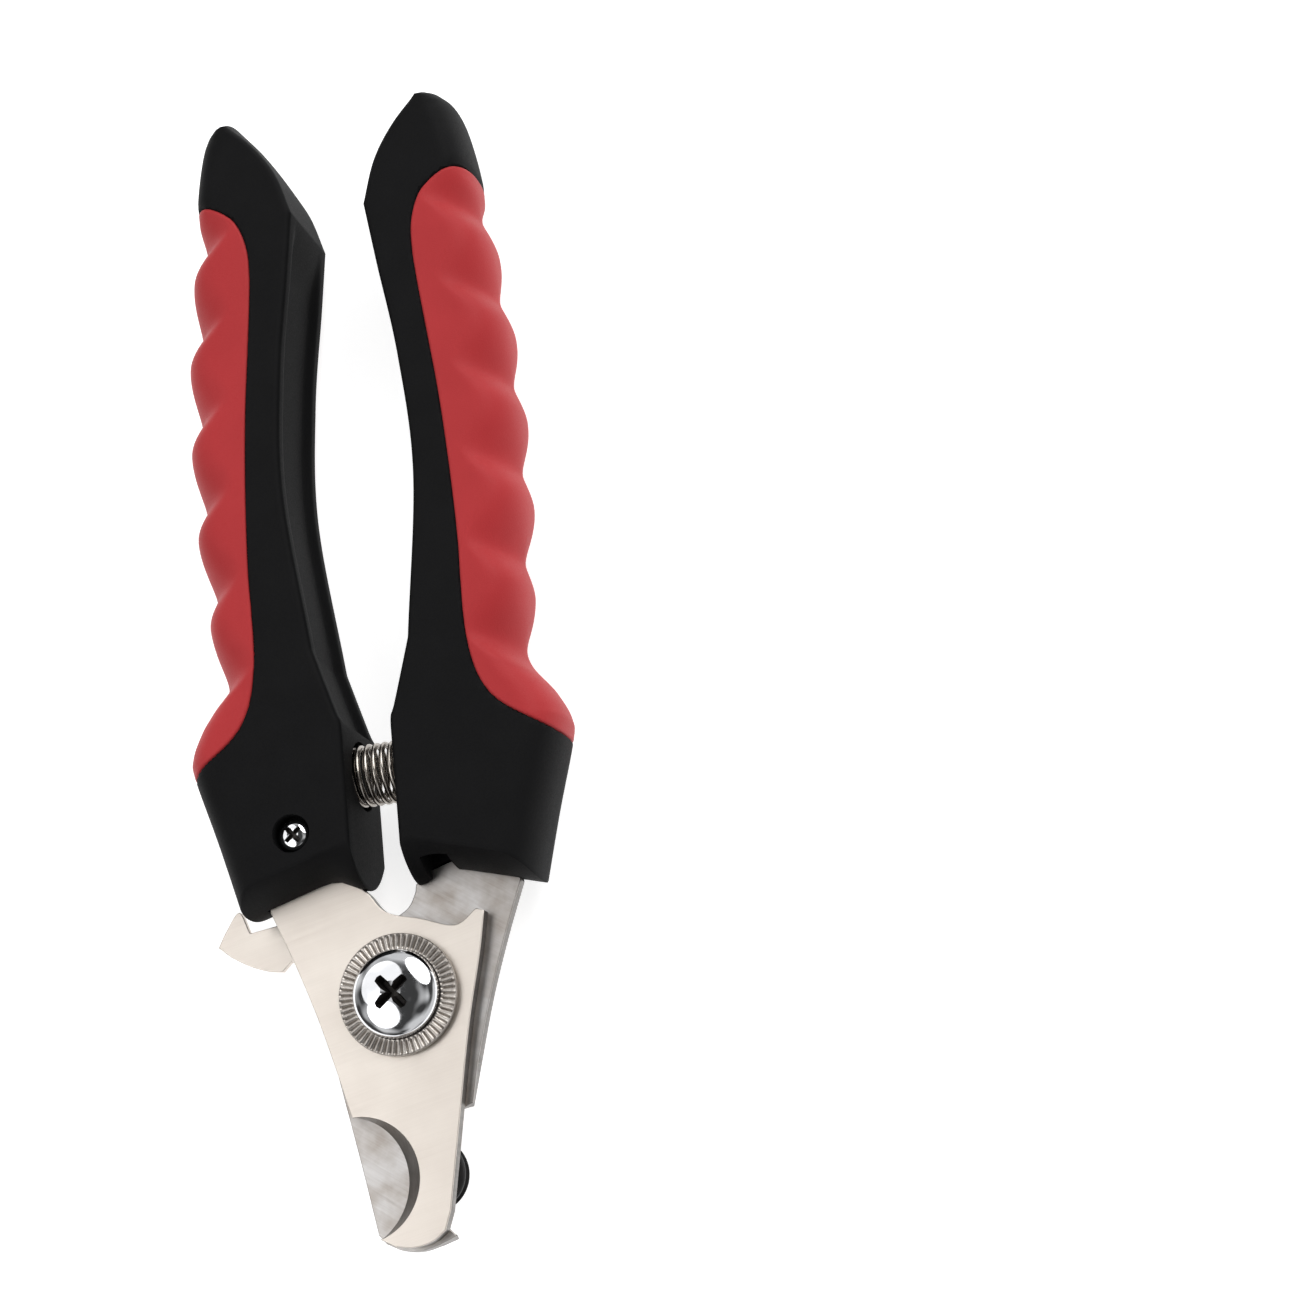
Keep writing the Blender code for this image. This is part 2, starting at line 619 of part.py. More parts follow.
def build_catch(steel, chrome, left_body, right_body):
    """The lock catch: a plate on a rivet in the right handle that can hook a stud on the left one."""
    back = RIGHT_MID - HALF_THICK
    high = LEFT_MID - HALF_THICK - GAP
    low = high - CATCH_THICK
    half = CATCH_WIDE / 2
    near, far, deep = CATCH_REACH - 1.5, CATCH_REACH + 1.5, STUD_R + GAP
    plate = arc((0, 0), half + 0.4, 90, 270, 12)
    plate += [(near, -half), (near, deep), (far, deep), (far, -half), (far + 1.1, -half)]
    plate += arc((far + 0.3, 0), half, -60, 90, 8)
    turn = math.radians(CATCH_PARKED)
    outline = [
        (
            CATCH_AT[0] + x * math.cos(turn) + y * math.sin(turn),
            CATCH_AT[1] + x * math.sin(turn) - y * math.cos(turn),
        )
        for x, y in plate
    ]
    catch = add_object("lock_catch", prism(outline, low, high), steel, (*CATCH_AT, low))
    cut(catch, bar(CATCH_AT, RIVET_R + GAP, low - 1, high + 1), "rivet_hole")
    cut(right_body, prism(BAY, back - 1, high + GAP), "catch_bay")

    def pin(head_r, shank_r, end):
        under = low - GAP
        return [(0, back), (head_r, back), (head_r, under), (shank_r, under), (shank_r, end), (0, end)]

    add_object("catch_rivet", turned(pin(RIVET_HEAD_R, RIVET_R, RIVET_END), 24, CATCH_AT), chrome)
    cut(right_body, bar(CATCH_AT, RIVET_R + GAP, high, RIVET_END + GAP), "rivet_hole")

    stud_at = (CATCH_AT[0] - CATCH_REACH, CATCH_AT[1])
    add_object("catch_stud", turned(pin(STUD_HEAD_R, STUD_R, STUD_END), 24, stud_at), chrome)
    cut(left_body, bar(stud_at, STUD_R + GAP, high, STUD_END + GAP), "stud_hole")


# ---------------------------------------------------------------- assembly
def main():
    for obj in list(bpy.data.objects):
        bpy.data.objects.remove(obj, do_unlink=True)
    build_blades(LOOKS["steel"])
    build_pivot(LOOKS["chrome"], LOOKS["washer"], LOOKS["nylon"], LOOKS["plain"])
    build_guard(LOOKS["steel"], LOOKS["rubber"])
    left = build_handle("left", LEFT_MID, blade_front_outline("outer"), FRONT_LOW, FRONT_HIGH)
    right = build_handle("right", RIGHT_MID, blade_rear_outline("outer"), REAR_LOW, REAR_HIGH)
    build_spring(LOOKS["wire"])
    build_catch(LOOKS["plain"], LOOKS["chrome"], left, right)


LOOKS = {
    "steel": finish("brushed_steel", (0.72, 0.68, 0.64), 1.0, 0.38),
    "chrome": finish("chrome_plate", (0.82, 0.82, 0.83), 1.0, 0.08),
    "washer": finish("serrated_steel", (0.55, 0.50, 0.44), 1.0, 0.4),
    "plain": finish("zinc_steel", (0.6, 0.61, 0.63), 1.0, 0.35),
    "wire": finish("nickel_wire", (0.45, 0.43, 0.41), 1.0, 0.22),
    "nylon": finish("nylon", (0.8, 0.79, 0.75), 0.0, 0.5),
    "plastic": finish("black_abs", (0.012, 0.012, 0.013), 0.0, 0.5),
    "rubber": finish("black_rubber", (0.012, 0.012, 0.012), 0.0, 0.6),
    "grip": finish("red_soft_grip", (0.54, 0.045, 0.05), 0.0, 0.55),
}
main()
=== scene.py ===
"""The looks of a plier-style claw clipper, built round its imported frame.

Shapes are worked out in millimetres about the pivot axis: +Y runs to the handle ends, +Z to the
front, and Z = 0 is the plane where the blades shear. put_mesh() turns them into metres and lifts
them into the frame. Handles are worked out for the right side and mirrored for the left.
"""

import logging
import math
from dataclasses import dataclass
from enum import Enum
from typing import Any, Callable, Sequence

import bmesh
import bpy
import numpy as np
from mathutils import Matrix, Vector


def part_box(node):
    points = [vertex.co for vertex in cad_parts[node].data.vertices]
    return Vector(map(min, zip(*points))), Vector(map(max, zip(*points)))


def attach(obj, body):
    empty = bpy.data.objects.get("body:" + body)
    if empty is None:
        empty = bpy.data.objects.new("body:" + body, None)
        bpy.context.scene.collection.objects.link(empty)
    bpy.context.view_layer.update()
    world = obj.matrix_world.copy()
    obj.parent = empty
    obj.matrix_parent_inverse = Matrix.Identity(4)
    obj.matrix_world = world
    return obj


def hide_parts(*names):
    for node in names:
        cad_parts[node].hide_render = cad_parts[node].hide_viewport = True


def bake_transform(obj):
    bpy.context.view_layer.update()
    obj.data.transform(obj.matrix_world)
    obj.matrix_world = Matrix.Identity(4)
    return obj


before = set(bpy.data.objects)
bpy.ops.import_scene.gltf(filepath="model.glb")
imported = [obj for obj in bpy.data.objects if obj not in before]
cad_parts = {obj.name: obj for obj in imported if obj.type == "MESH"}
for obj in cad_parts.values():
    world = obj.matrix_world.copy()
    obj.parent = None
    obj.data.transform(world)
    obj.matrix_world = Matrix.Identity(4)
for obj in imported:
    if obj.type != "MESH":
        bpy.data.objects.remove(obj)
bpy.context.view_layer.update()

log = logging.getLogger("clipper")

# One millimetre in the frame's metres, and the clearance between pieces in millimetres.
MM = 0.001
GAP = 0.3
# The plane between the blades, halfway between their facing sides.
SHEAR_Z = (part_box("front_blade")[0].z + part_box("rear_blade")[1].z) / 2
# Square millimetres above which a face is shaded flat, and the usual crease in degrees.
BROAD = 3.0
CREASE = 35.0
# Bore in both blades and in the stop plate for the pivot screw.
PIVOT_BORE = 2.8

Points = Sequence[tuple[float, float]]


class Side(Enum):
    """Which handle a piece belongs to, with the sign of its X."""

    LEFT = -1
    RIGHT = 1

    @property
    def word(self) -> str:
        """The side's name as node names start."""
        return self.name.lower()

    @property
    def body(self) -> str:
        """The frame body that this side rides on."""
        return f"{self.word}_side"

    @property
    def up(self) -> int:
        """Which way this side's screw faces along Z: 1 for the front, -1 for the back."""
        return -self.value


# ---------------------------------------------------------------- curves
def spline(points: Points, steps: int = 12) -> np.ndarray:
    """A smooth open curve through control points.

    Each stretch is the Catmull-Rom cubic of its two ends and their neighbours.

    Args:
        points: The control points.
        steps: Points made for each stretch.

    Returns:
        An array of points, two numbers each.
    """
    knots = np.asarray(points, float)
    knots = np.vstack([2 * knots[0] - knots[1], knots, 2 * knots[-1] - knots[-2]])
    a, b, c, d = (knots[i : len(knots) - 3 + i, None, :] for i in range(4))
    t = np.linspace(0, 1, steps, endpoint=False)[None, :, None]
    square, cube = 2 * a - 5 * b + 4 * c - d, 3 * b - a - 3 * c + d
    path = 0.5 * (2 * b + (c - a) * t + square * t**2 + cube * t**3)
    return np.vstack([path.reshape(-1, 2), knots[-2]])


def arc(centre: Sequence[float], radius: float, start: float, end: float, steps: int) -> np.ndarray:
    """Points on a circle from one angle to another, in degrees, with one more point than steps."""
    t = np.radians(np.linspace(start, end, steps + 1))
    return np.stack([centre[0] + radius * np.cos(t), centre[1] + radius * np.sin(t)], -1)


def arc_through(
    start: Sequence[float], middle: Sequence[float], end: Sequence[float], steps: int
) -> np.ndarray:
    """Points on the circle through three points.

    The centre solves the two equations that put it equally far from the three points.

    Args:
        start: The first point.
        middle: A point that the arc passes.
        end: The last point.
        steps: Stretches between the first point and the last.

    Returns:
        The arc's points.
    """
    a, b, c = (np.asarray(p, float) for p in (start, middle, end))
    sides = 2 * np.array([b - a, c - a])
    centre = np.linalg.solve(sides, np.array([b @ b - a @ a, c @ c - a @ a]))
    turns = [math.degrees(math.atan2(*(p - centre)[::-1])) for p in (a, b, c)]
    sweep = (turns[2] - turns[0]) % 360
    if (turns[1] - turns[0]) % 360 > sweep:
        sweep -= 360
    return arc(centre, float(np.linalg.norm(a - centre)), turns[0], turns[0] + sweep, steps)


def softened(corners: Points, radius: float, steps: int = 4, closed: bool = True) -> np.ndarray:
    """A polyline whose corners are rounded.

    Each corner P becomes the quadratic curve (1-t)^2 A + 2t(1-t) P + t^2 B between the points A
    and B that lie a radius, or half an edge at most, to each side of it.

    Args:
        corners: The polyline.
        radius: How far from a corner the rounding starts.
        steps: Stretches in each rounding.
        closed: Whether the last corner joins the first.

    Returns:
        The rounded polyline.
    """
    p = np.asarray(corners, float)
    to_before, to_after = np.roll(p, 1, 0) - p, np.roll(p, -1, 0) - p
    reach = [np.minimum(radius, np.linalg.norm(v, axis=1) * 0.45) for v in (to_before, to_after)]
    unit = [v / np.maximum(np.linalg.norm(v, axis=1), 1e-9)[:, None] for v in (to_before, to_after)]
    a, b = (p + u * r[:, None] for u, r in zip(unit, reach))
    t = np.linspace(0, 1, steps + 1)[None, :, None]
    path = (1 - t) ** 2 * a[:, None] + 2 * t * (1 - t) * p[:, None] + t**2 * b[:, None]
    if closed:
        return path.reshape(-1, 2)
    return np.vstack([p[:1], path[1:-1].reshape(-1, 2), p[-1:]])


def grown(outline: np.ndarray, by: float) -> np.ndarray:
    """An anticlockwise outline moved outwards.

    Each point goes along the mean of its two edges' normals, further where they part.

    Args:
        outline: The outline.
        by: How far its edges move.

    Returns:
        The moved outline.
    """
    one, two = outline - np.roll(outline, 1, 0), np.roll(outline, -1, 0) - outline
    one /= np.linalg.norm(one, axis=1)[:, None]
    two /= np.linalg.norm(two, axis=1)[:, None]
    normal = np.stack([one[:, 1] + two[:, 1], -one[:, 0] - two[:, 0]], -1)
    normal /= np.linalg.norm(normal, axis=1)[:, None]
    lean = np.maximum(0.5, (normal * np.stack([one[:, 1], -one[:, 0]], -1)).sum(1))
    return outline + normal * (by / lean)[:, None]


def signed_distance(points: np.ndarray, line: np.ndarray) -> np.ndarray:
    """Distance from points to an open polyline, negative on its right-hand side.

    For each point the nearest foot on any stretch is found by projecting on all of them.

    Args:
        points: An array whose last axis is X, Y.
        line: The polyline.

    Returns:
        One distance for each point.
    """
    start, along = line[:-1], np.diff(line, axis=0)
    away = points[..., None, :] - start
    t = np.clip((away * along).sum(-1) / (along**2).sum(-1), 0, 1)
    gap = away - t[..., None] * along
    far = np.linalg.norm(gap, axis=-1)
    nearest = far.argmin(-1)[..., None]
    cross = along[:, 0] * away[..., 1] - along[:, 1] * away[..., 0]
    return np.take_along_axis(far * np.sign(cross), nearest, -1)[..., 0]


def at_height(outline: np.ndarray, height: float) -> np.ndarray:
    """An outline's points with a height as their third number."""
    return np.c_[outline, np.full(len(outline), height)]


def smooth(t: np.ndarray) -> np.ndarray:
    """The cubic 3t^2 - 2t^3 with t held between 0 and 1."""
    t = np.clip(t, 0, 1)
    return t * t * (3 - 2 * t)


# ---------------------------------------------------------------- meshes
def shade(mesh: bpy.types.Mesh, crease: float) -> None:
    """Shades a mesh smooth, but sharp at steep edges and round every broad flat face.

    Args:
        mesh: The mesh.
        crease: The angle in degrees past which an edge stays sharp.
    """
    mesh.shade_smooth()
    mesh.set_sharp_from_angle(angle=math.radians(crease))
    area, start, total = (np.empty(len(mesh.polygons), kind) for kind in (float, int, int))
    mesh.polygons.foreach_get("area", area)
    mesh.polygons.foreach_get("loop_start", start)
    mesh.polygons.foreach_get("loop_total", total)
    edges = np.empty(len(mesh.loops), int)
    mesh.loops.foreach_get("edge_index", edges)
    broad = np.repeat(area > BROAD * MM**2, total)
    sharp = np.empty(len(mesh.edges), bool)
    mesh.edges.foreach_get("use_edge_sharp", sharp)
    sharp[edges[np.flatnonzero(broad)]] = True
    mesh.edges.foreach_set("use_edge_sharp", sharp)


def quads(
    rows: int, cols: int, close_rows: bool = False, close_cols: bool = False, first: int = 0
) -> list[list[int]]:
    """The four-sided faces of a grid of points numbered row by row.

    Args:
        rows: Rows of points.
        cols: Points in a row.
        close_rows: Whether the last row joins the first.
        close_cols: Whether a row's last point joins its first.
        first: The number of the grid's first point.

    Returns:
        A list of faces.
    """
    i = np.arange(rows if close_rows else rows - 1)[:, None]
    j = np.arange(cols if close_cols else cols - 1)[None, :]
    below, beside = (i + 1) % rows, (j + 1) % cols
    faces = [i * cols + j, i * cols + beside, below * cols + beside, below * cols + j]
    return (np.stack(np.broadcast_arrays(*faces), -1).reshape(-1, 4) + first).tolist()


def put_mesh(name: str, points: np.ndarray, faces: list, crease: float = CREASE) -> bpy.types.Object:
    """Makes an object from points in millimetres, closed, with its faces turned outwards.

    Args:
        name: The object's name.
        points: Three numbers a point, about the pivot axis and the shear plane.
        faces: Lists of point numbers.
        crease: The angle in degrees past which an edge stays sharp.

    Returns:
        The object, at the origin.
    """
    mesh = bpy.data.meshes.new(name)
    placed = np.asarray(points, float).reshape(-1, 3) * MM + [0, 0, SHEAR_Z]
    mesh.from_pydata(placed.tolist(), [], faces)
    form = bmesh.new()
    form.from_mesh(mesh)
    bmesh.ops.remove_doubles(form, verts=form.verts, dist=1e-7)
    form.normal_update()
    bmesh.ops.recalc_face_normals(form, faces=form.faces)
    form.to_mesh(mesh)
    form.free()
    shade(mesh, crease)
    obj = bpy.data.objects.new(name, mesh)
    bpy.context.scene.collection.objects.link(obj)
    return obj


def stacked(name: str, rings: Sequence[np.ndarray], crease: float = CREASE) -> bpy.types.Object:
    """A closed solid through rings of points, with one face on the first ring and one on the last.

    Args:
        name: The object's name.
        rings: Arrays of as many points each, three numbers a point.
        crease: The angle in degrees past which an edge stays sharp.

    Returns:
        The object.
    """
    rows, cols = len(rings), len(rings[0])
    faces = quads(rows, cols, close_cols=True)
    faces += [list(range(cols))[::-1], list(range((rows - 1) * cols, rows * cols))]
    return put_mesh(name, np.vstack(rings), faces, crease)


def plate(
    name: str, low_outline: np.ndarray, high_outline: np.ndarray, low: float, high: float, edge: float
) -> bpy.types.Object:
    """A flat plate whose two rims are rounded.

    The rim's ring at angle t is the outline drawn in by edge * (1 - cos t) and raised by
    edge * sin t towards its face.

    Args:
        name: The object's name.
        low_outline: The outline on the lower face, anticlockwise.
        high_outline: The outline on the upper face, with as many points.
        low: Height of the lower face.
        high: Height of the upper face.
        edge: Radius of the rims.

    Returns:
        The object.
    """
    rings = []
    for t in np.radians([90, 60, 30, 0]):
        inset, rise = edge * (1 - math.cos(t)), edge * (1 - math.sin(t))
        rings.append(at_height(grown(low_outline, -inset), low + rise))
    for t in np.radians([0, 30, 60, 90]):
        inset, rise = edge * (1 - math.cos(t)), edge * (1 - math.sin(t))
        rings.append(at_height(grown(high_outline, -inset), high - rise))
    return stacked(name, rings)


def lathed(
    name: str,
    profile: np.ndarray,
    centre: Sequence[float] = (0, 0),
    segments: int = 96,
    lift: Callable[[np.ndarray, np.ndarray], np.ndarray] | None = None,
    closed: bool = False,
) -> bpy.types.Object:
    """A profile of (radius, height) turned about a line along Z.

    Args:
        name: The object's name.
        profile: The profile; an open one starts and ends on the axis.
        centre: X and Y of the axis.
        segments: Steps round the axis.
        lift: Gives what to add to the height, from the angle and the radius.
        closed: Whether the profile closes on itself, as a ring's does.

    Returns:
        The object.
    """
    t = np.linspace(0, 2 * np.pi, segments, endpoint=False)[:, None]
    r, z = profile[None, :, 0], profile[None, :, 1]
    height = z + (lift(t, r) if lift else 0 * t)
    grid = np.stack(np.broadcast_arrays(centre[0] + r * np.cos(t), centre[1] + r * np.sin(t), height), -1)
    return put_mesh(name, grid.reshape(-1, 3), quads(segments, len(profile), True, closed))


def carve(obj: bpy.types.Object, *cutters: bpy.types.Object) -> None:
    """Takes each cutter's shape out of a closed piece, and removes the cutter."""
    for cutter in cutters:
        modifier = obj.modifiers.new("carve", "BOOLEAN")
        modifier.operation = "DIFFERENCE"
        modifier.solver = "MANIFOLD"
        modifier.material_mode = "TRANSFER"
        modifier.object = cutter
    graph = bpy.context.evaluated_depsgraph_get()
    carved = bpy.data.meshes.new_from_object(obj.evaluated_get(graph))
    obj.modifiers.clear()
    obj.data = carved
    for cutter in cutters:
        bpy.data.objects.remove(cutter)
    shade(carved, CREASE)


def bar(centre: Sequence[float], radius: float, low: float, high: float) -> bpy.types.Object:
    """A round cutter along Z."""
    return block(arc(centre, radius, 0, 360, 48)[:-1], low, high)


def block(outline: np.ndarray, low: float, high: float) -> bpy.types.Object:
    """A cutter with an outline in the XY plane."""
    return stacked("cutter", [at_height(outline, low), at_height(outline, high)])


def drive_cutters(
    centre: Sequence[float], top: float, up: int, reach: float, wide: float, deep: float
) -> list[bpy.types.Object]:
    """The cutters for a cross drive: a shallow cone, the rim of the arms and the deep tapered arms.

    Args:
        centre: X and Y of the screw's axis.
        top: Height of the screw's crown.
        up: 1 where the crown faces +Z, -1 where it faces -Z.
        reach: Length of an arm.
        wide: Width of an arm.
        deep: Depth below the crown.

    Returns:
        The cutters, of which the last carries painted shade: the dark, dull finish that stands for the shade
        in the recess.
    """
    half = wide / 2
    arm = np.array([(half, -half), (reach * 0.94, -half * 0.92), (reach, 0), (reach * 0.94, half * 0.92)])
    turns = np.radians(np.arange(4) * 90 + 40)
    cos, sin = np.cos(turns), np.sin(turns)
    spin = np.stack([np.stack([cos, -sin], -1), np.stack([sin, cos], -1)], 1)
    outline = (spin[:, None] @ arm[None, :, :, None])[..., 0].reshape(-1, 2)

    def arms(levels: Points) -> bpy.types.Object:
        """A cutter through the arms' outline, grown by each first number at the second's depth."""
        return stacked("cutter", [at_height(grown(outline, g) + centre, top - up * d) for g, d in levels])

    crown = top + up * deep * 0.1
    cone = np.array([(0, top - up * deep * 0.42), (wide * 1.7, crown), (0, crown)])
    rim = arms(((-0.1 * wide, 0.3 * deep), (0.16 * wide, 0.0), (0.2 * wide, -0.2 * deep)))
    hole = arms(((-0.28 * wide, deep), (-0.03 * wide, 0.3 * deep), (0.0, -0.2 * deep)))
    # The deep arms carry painted shade: a dark colour standing in for the shade inside the recess.
    hole.data.materials.append(RECESS_SHADE.material())
    return [lathed("cutter", cone, centre, 48), rim, hole]


# ---------------------------------------------------------------- finishes
def linear(colour: str) -> tuple[float, float, float, float]:
    """Turns an sRGB hex colour into linear light."""
    channels = [int(colour[i : i + 2], 16) / 255 for i in (1, 3, 5)]
    return (*(c / 12.92 if c <= 0.04045 else ((c + 0.055) / 1.055) ** 2.4 for c in channels), 1.0)


def add(
    tree: bpy.types.NodeTree, kind: str, inputs: dict | None = None, **settings: Any
) -> bpy.types.Node:
    """Adds a node to a material.

    Args:
        tree: The material's node tree.
        kind: The node's type.
        inputs: A value, or a socket to link, for each named or numbered input.
        **settings: The node's own properties.

    Returns:
        The node.
    """
    made = tree.nodes.new(kind)
    for key, value in settings.items():
        setattr(made, key, value)
    for key, value in (inputs or {}).items():
        if isinstance(value, bpy.types.NodeSocket):
            tree.links.new(value, made.inputs[key])
        else:
            made.inputs[key].default_value = value
    return made


@dataclass(frozen=True)
class Finish:
    """One surface finish. Patterns read Object coordinates, and sizes are in millimetres.

    Each finish mixes two close colours by clouds of size cloud, varies its roughness with a grain
    whose marks are as long as the three numbers of grain, turned by turn degrees about Z, and
    raises that grain by relief as bump.
    """

    name: str
    colour: str
    second: str
    metallic: float
    roughness: tuple[float, float]
    cloud: float
    grain: tuple[float, float, float]
    relief: float
    turn: float = 0.0
    sheen: float = 0.0
    specular: float = 0.5

    def material(self) -> bpy.types.Material:
        """The finish's material, made once."""
        found = bpy.data.materials.get(self.name)
        if found:
            return found
        look = bpy.data.materials.new(self.name)
        look.use_nodes = True
        tree = look.node_tree
        shader = tree.nodes["Principled BSDF"]
        shader.inputs["Metallic"].default_value = self.metallic
        shader.inputs["Sheen Weight"].default_value = self.sheen
        shader.inputs["Specular IOR Level"].default_value = self.specular
        place = add(tree, "ShaderNodeTexCoord").outputs["Object"]
        self.dress(tree, shader, place)
        return look

    def dress(
        self, tree: bpy.types.NodeTree, shader: bpy.types.Node, place: bpy.types.NodeSocket
    ) -> None:
        """Adds the pattern: clouds for colour, and a stretched grain for roughness and bump.

        Args:
            tree: The material's node tree.
            shader: Its Principled BSDF.
            place: The coordinates that the pattern reads.
        """
        cloud = add(tree, "ShaderNodeTexNoise", {"Vector": place, "Scale": 1000 / self.cloud, "Detail": 4.0})
        scale = tuple(1000 / size for size in self.grain)
        spin = (0, 0, math.radians(self.turn))
        turned = add(tree, "ShaderNodeMapping", {"Vector": place, "Rotation": spin})
        fine = add(tree, "ShaderNodeMapping", {"Vector": turned.outputs[0], "Scale": scale})
        grain = add(tree, "ShaderNodeTexNoise", {"Vector": fine.outputs[0], "Scale": 1.0, "Detail": 3.0})
        marks = grain.outputs["Fac"]
        blend = add(tree, "ShaderNodeMapRange", {0: cloud.outputs["Fac"], 1: 0.35, 2: 0.65})
        self.paint(tree, shader, blend.outputs[0], marks)
        smoothest, roughest = self.roughness
        rough = add(tree, "ShaderNodeMapRange", {0: marks, 1: 0.3, 2: 0.7, 3: smoothest, 4: roughest})
        tree.links.new(rough.outputs[0], shader.inputs["Roughness"])
        bump = add(tree, "ShaderNodeBump", {"Height": marks, "Distance": self.relief * MM, "Strength": 1.0})
        tree.links.new(bump.outputs[0], shader.inputs["Normal"])

    def paint(
        self,
        tree: bpy.types.NodeTree,
        shader: bpy.types.Node,
        cloud: bpy.types.NodeSocket,
        grain: bpy.types.NodeSocket,
    ) -> None:
        """Mixes the two colours by 0.66 * (clouds + half the grain).

        Args:
            tree: The material's node tree.
            shader: Its Principled BSDF.
            cloud: The clouds.
            grain: The grain.
        """
        both = add(tree, "ShaderNodeMath", {0: grain, 1: 0.5, 2: cloud}, operation="MULTIPLY_ADD").outputs[0]
        share = add(tree, "ShaderNodeMath", {0: both, 1: 0.66}, operation="MULTIPLY", use_clamp=True)
        colours = {"Factor": share.outputs[0], 6: linear(self.colour), 7: linear(self.second)}
        mix = add(tree, "ShaderNodeMix", colours, data_type="RGBA")
        tree.links.new(mix.outputs[2], shader.inputs["Base Color"])


# Stainless sheet, brushed on a belt across the blade: lines 14 mm long and 0.16 mm apart. Real
# ones are finer; these are as coarse as they need to be to show.
BLADE_STEEL = Finish(
    "brushed_stainless", "#E3DBD2", "#D8CFC6", 1.0, (0.34, 0.46), 9.0, (14.0, 0.16, 0.16), 0.004, turn=-12.0
)
# The rear blade keeps its rolled and tumbled face: greyer, mottled, with marks at 35 degrees.
REAR_STEEL = Finish(
    "rolled_stainless", "#CAC8C7", "#A0978F", 1.0, (0.3, 0.45), 4.0, (7.0, 0.22, 0.22), 0.005, turn=35.0
)
# Ground bevels and sheared edges, with fine cross marks; their dark colour is painted shade.
SHADED_GROUND_STEEL = Finish("ground_stainless_painted_shade", "#807C78", "#6A6662", 1.0, (0.28, 0.4), 2.0, (0.1, 3.0, 3.0), 0.003)
# Chrome plate over a cold-headed screw: mirror bright, with a faint orange peel.
CHROME = Finish("chrome_plate", "#EDEEF0", "#E2E3E6", 1.0, (0.05, 0.1), 3.0, (1.2, 1.2, 1.2), 0.0008)
# Painted shade for the bottom of a cross drive: a dark, dull colour standing in for the shade inside the
# recess.
RECESS_SHADE = Finish("recess_painted_shade", "#3A3633", "#24211F", 0.6, (0.45, 0.6), 0.8, (0.2, 0.2, 0.2), 0.004)
# Toothed washer, nickel over steel, greyed and faintly browned by oil.
WASHER_STEEL = Finish("oiled_nickel", "#BDB8B2", "#97908A", 1.0, (0.25, 0.42), 1.6, (0.3, 0.3, 0.3), 0.003)
# Zinc plate: grey, satin, faintly mottled.
ZINC = Finish("zinc_plate", "#C3C5C9", "#AEB0B5", 1.0, (0.25, 0.4), 1.5, (0.5, 0.5, 0.5), 0.002)
# Spring wire, drawn and nickel plated: bright streaks along the wire.
WIRE = Finish("drawn_wire", "#C9C2BA", "#9A948D", 1.0, (0.16, 0.28), 1.0, (0.3, 1.5, 0.1), 0.001)
# ABS moulded against a spark-eroded tool, whose 0.2 mm grain breaks up the shine.
ABS = Finish(
    "moulded_abs", "#0C0C0D", "#101011", 0.0, (0.6, 0.72), 6.0, (0.22, 0.22, 0.22), 0.015,
    specular=0.1,
)
# Thermoplastic rubber moulded over the handle: a soft matt skin with a fine grain.
TPR = Finish(
    "moulded_tpr", "#B03033", "#A72B2E", 0.0, (0.5, 0.66), 12.0, (0.2, 0.2, 0.2), 0.02,
    sheen=0.05, specular=0.2,
)
# Nylon washer, off-white and slightly waxy.
NYLON = Finish("nylon", "#E6E2D8", "#DAD5C8", 0.0, (0.4, 0.5), 2.0, (0.3, 0.3, 0.3), 0.003)
# Nitrile rubber pad: black, with a bloom that greys it a little.
NITRILE = Finish("nitrile_rubber", "#161617", "#202021", 0.0, (0.5, 0.65), 1.5, (0.25, 0.25, 0.25), 0.01)


def finished(obj: bpy.types.Object, finish: Finish, body: str, node: str) -> None:
    """Gives a piece its finish and its place in the frame.

    Args:
        obj: The piece.
        finish: Its finish, which takes the first material's place if it has one.
        body: The body that it rides on.
        node: The frame node that it stands for.
    """
    if obj.data.materials:
        obj.data.materials[0] = finish.material()
    else:
        obj.data.materials.append(finish.material())
    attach(obj, body)
    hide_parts(node)
    log.info("%s: %d points on %s", obj.name, len(obj.data.vertices), body)


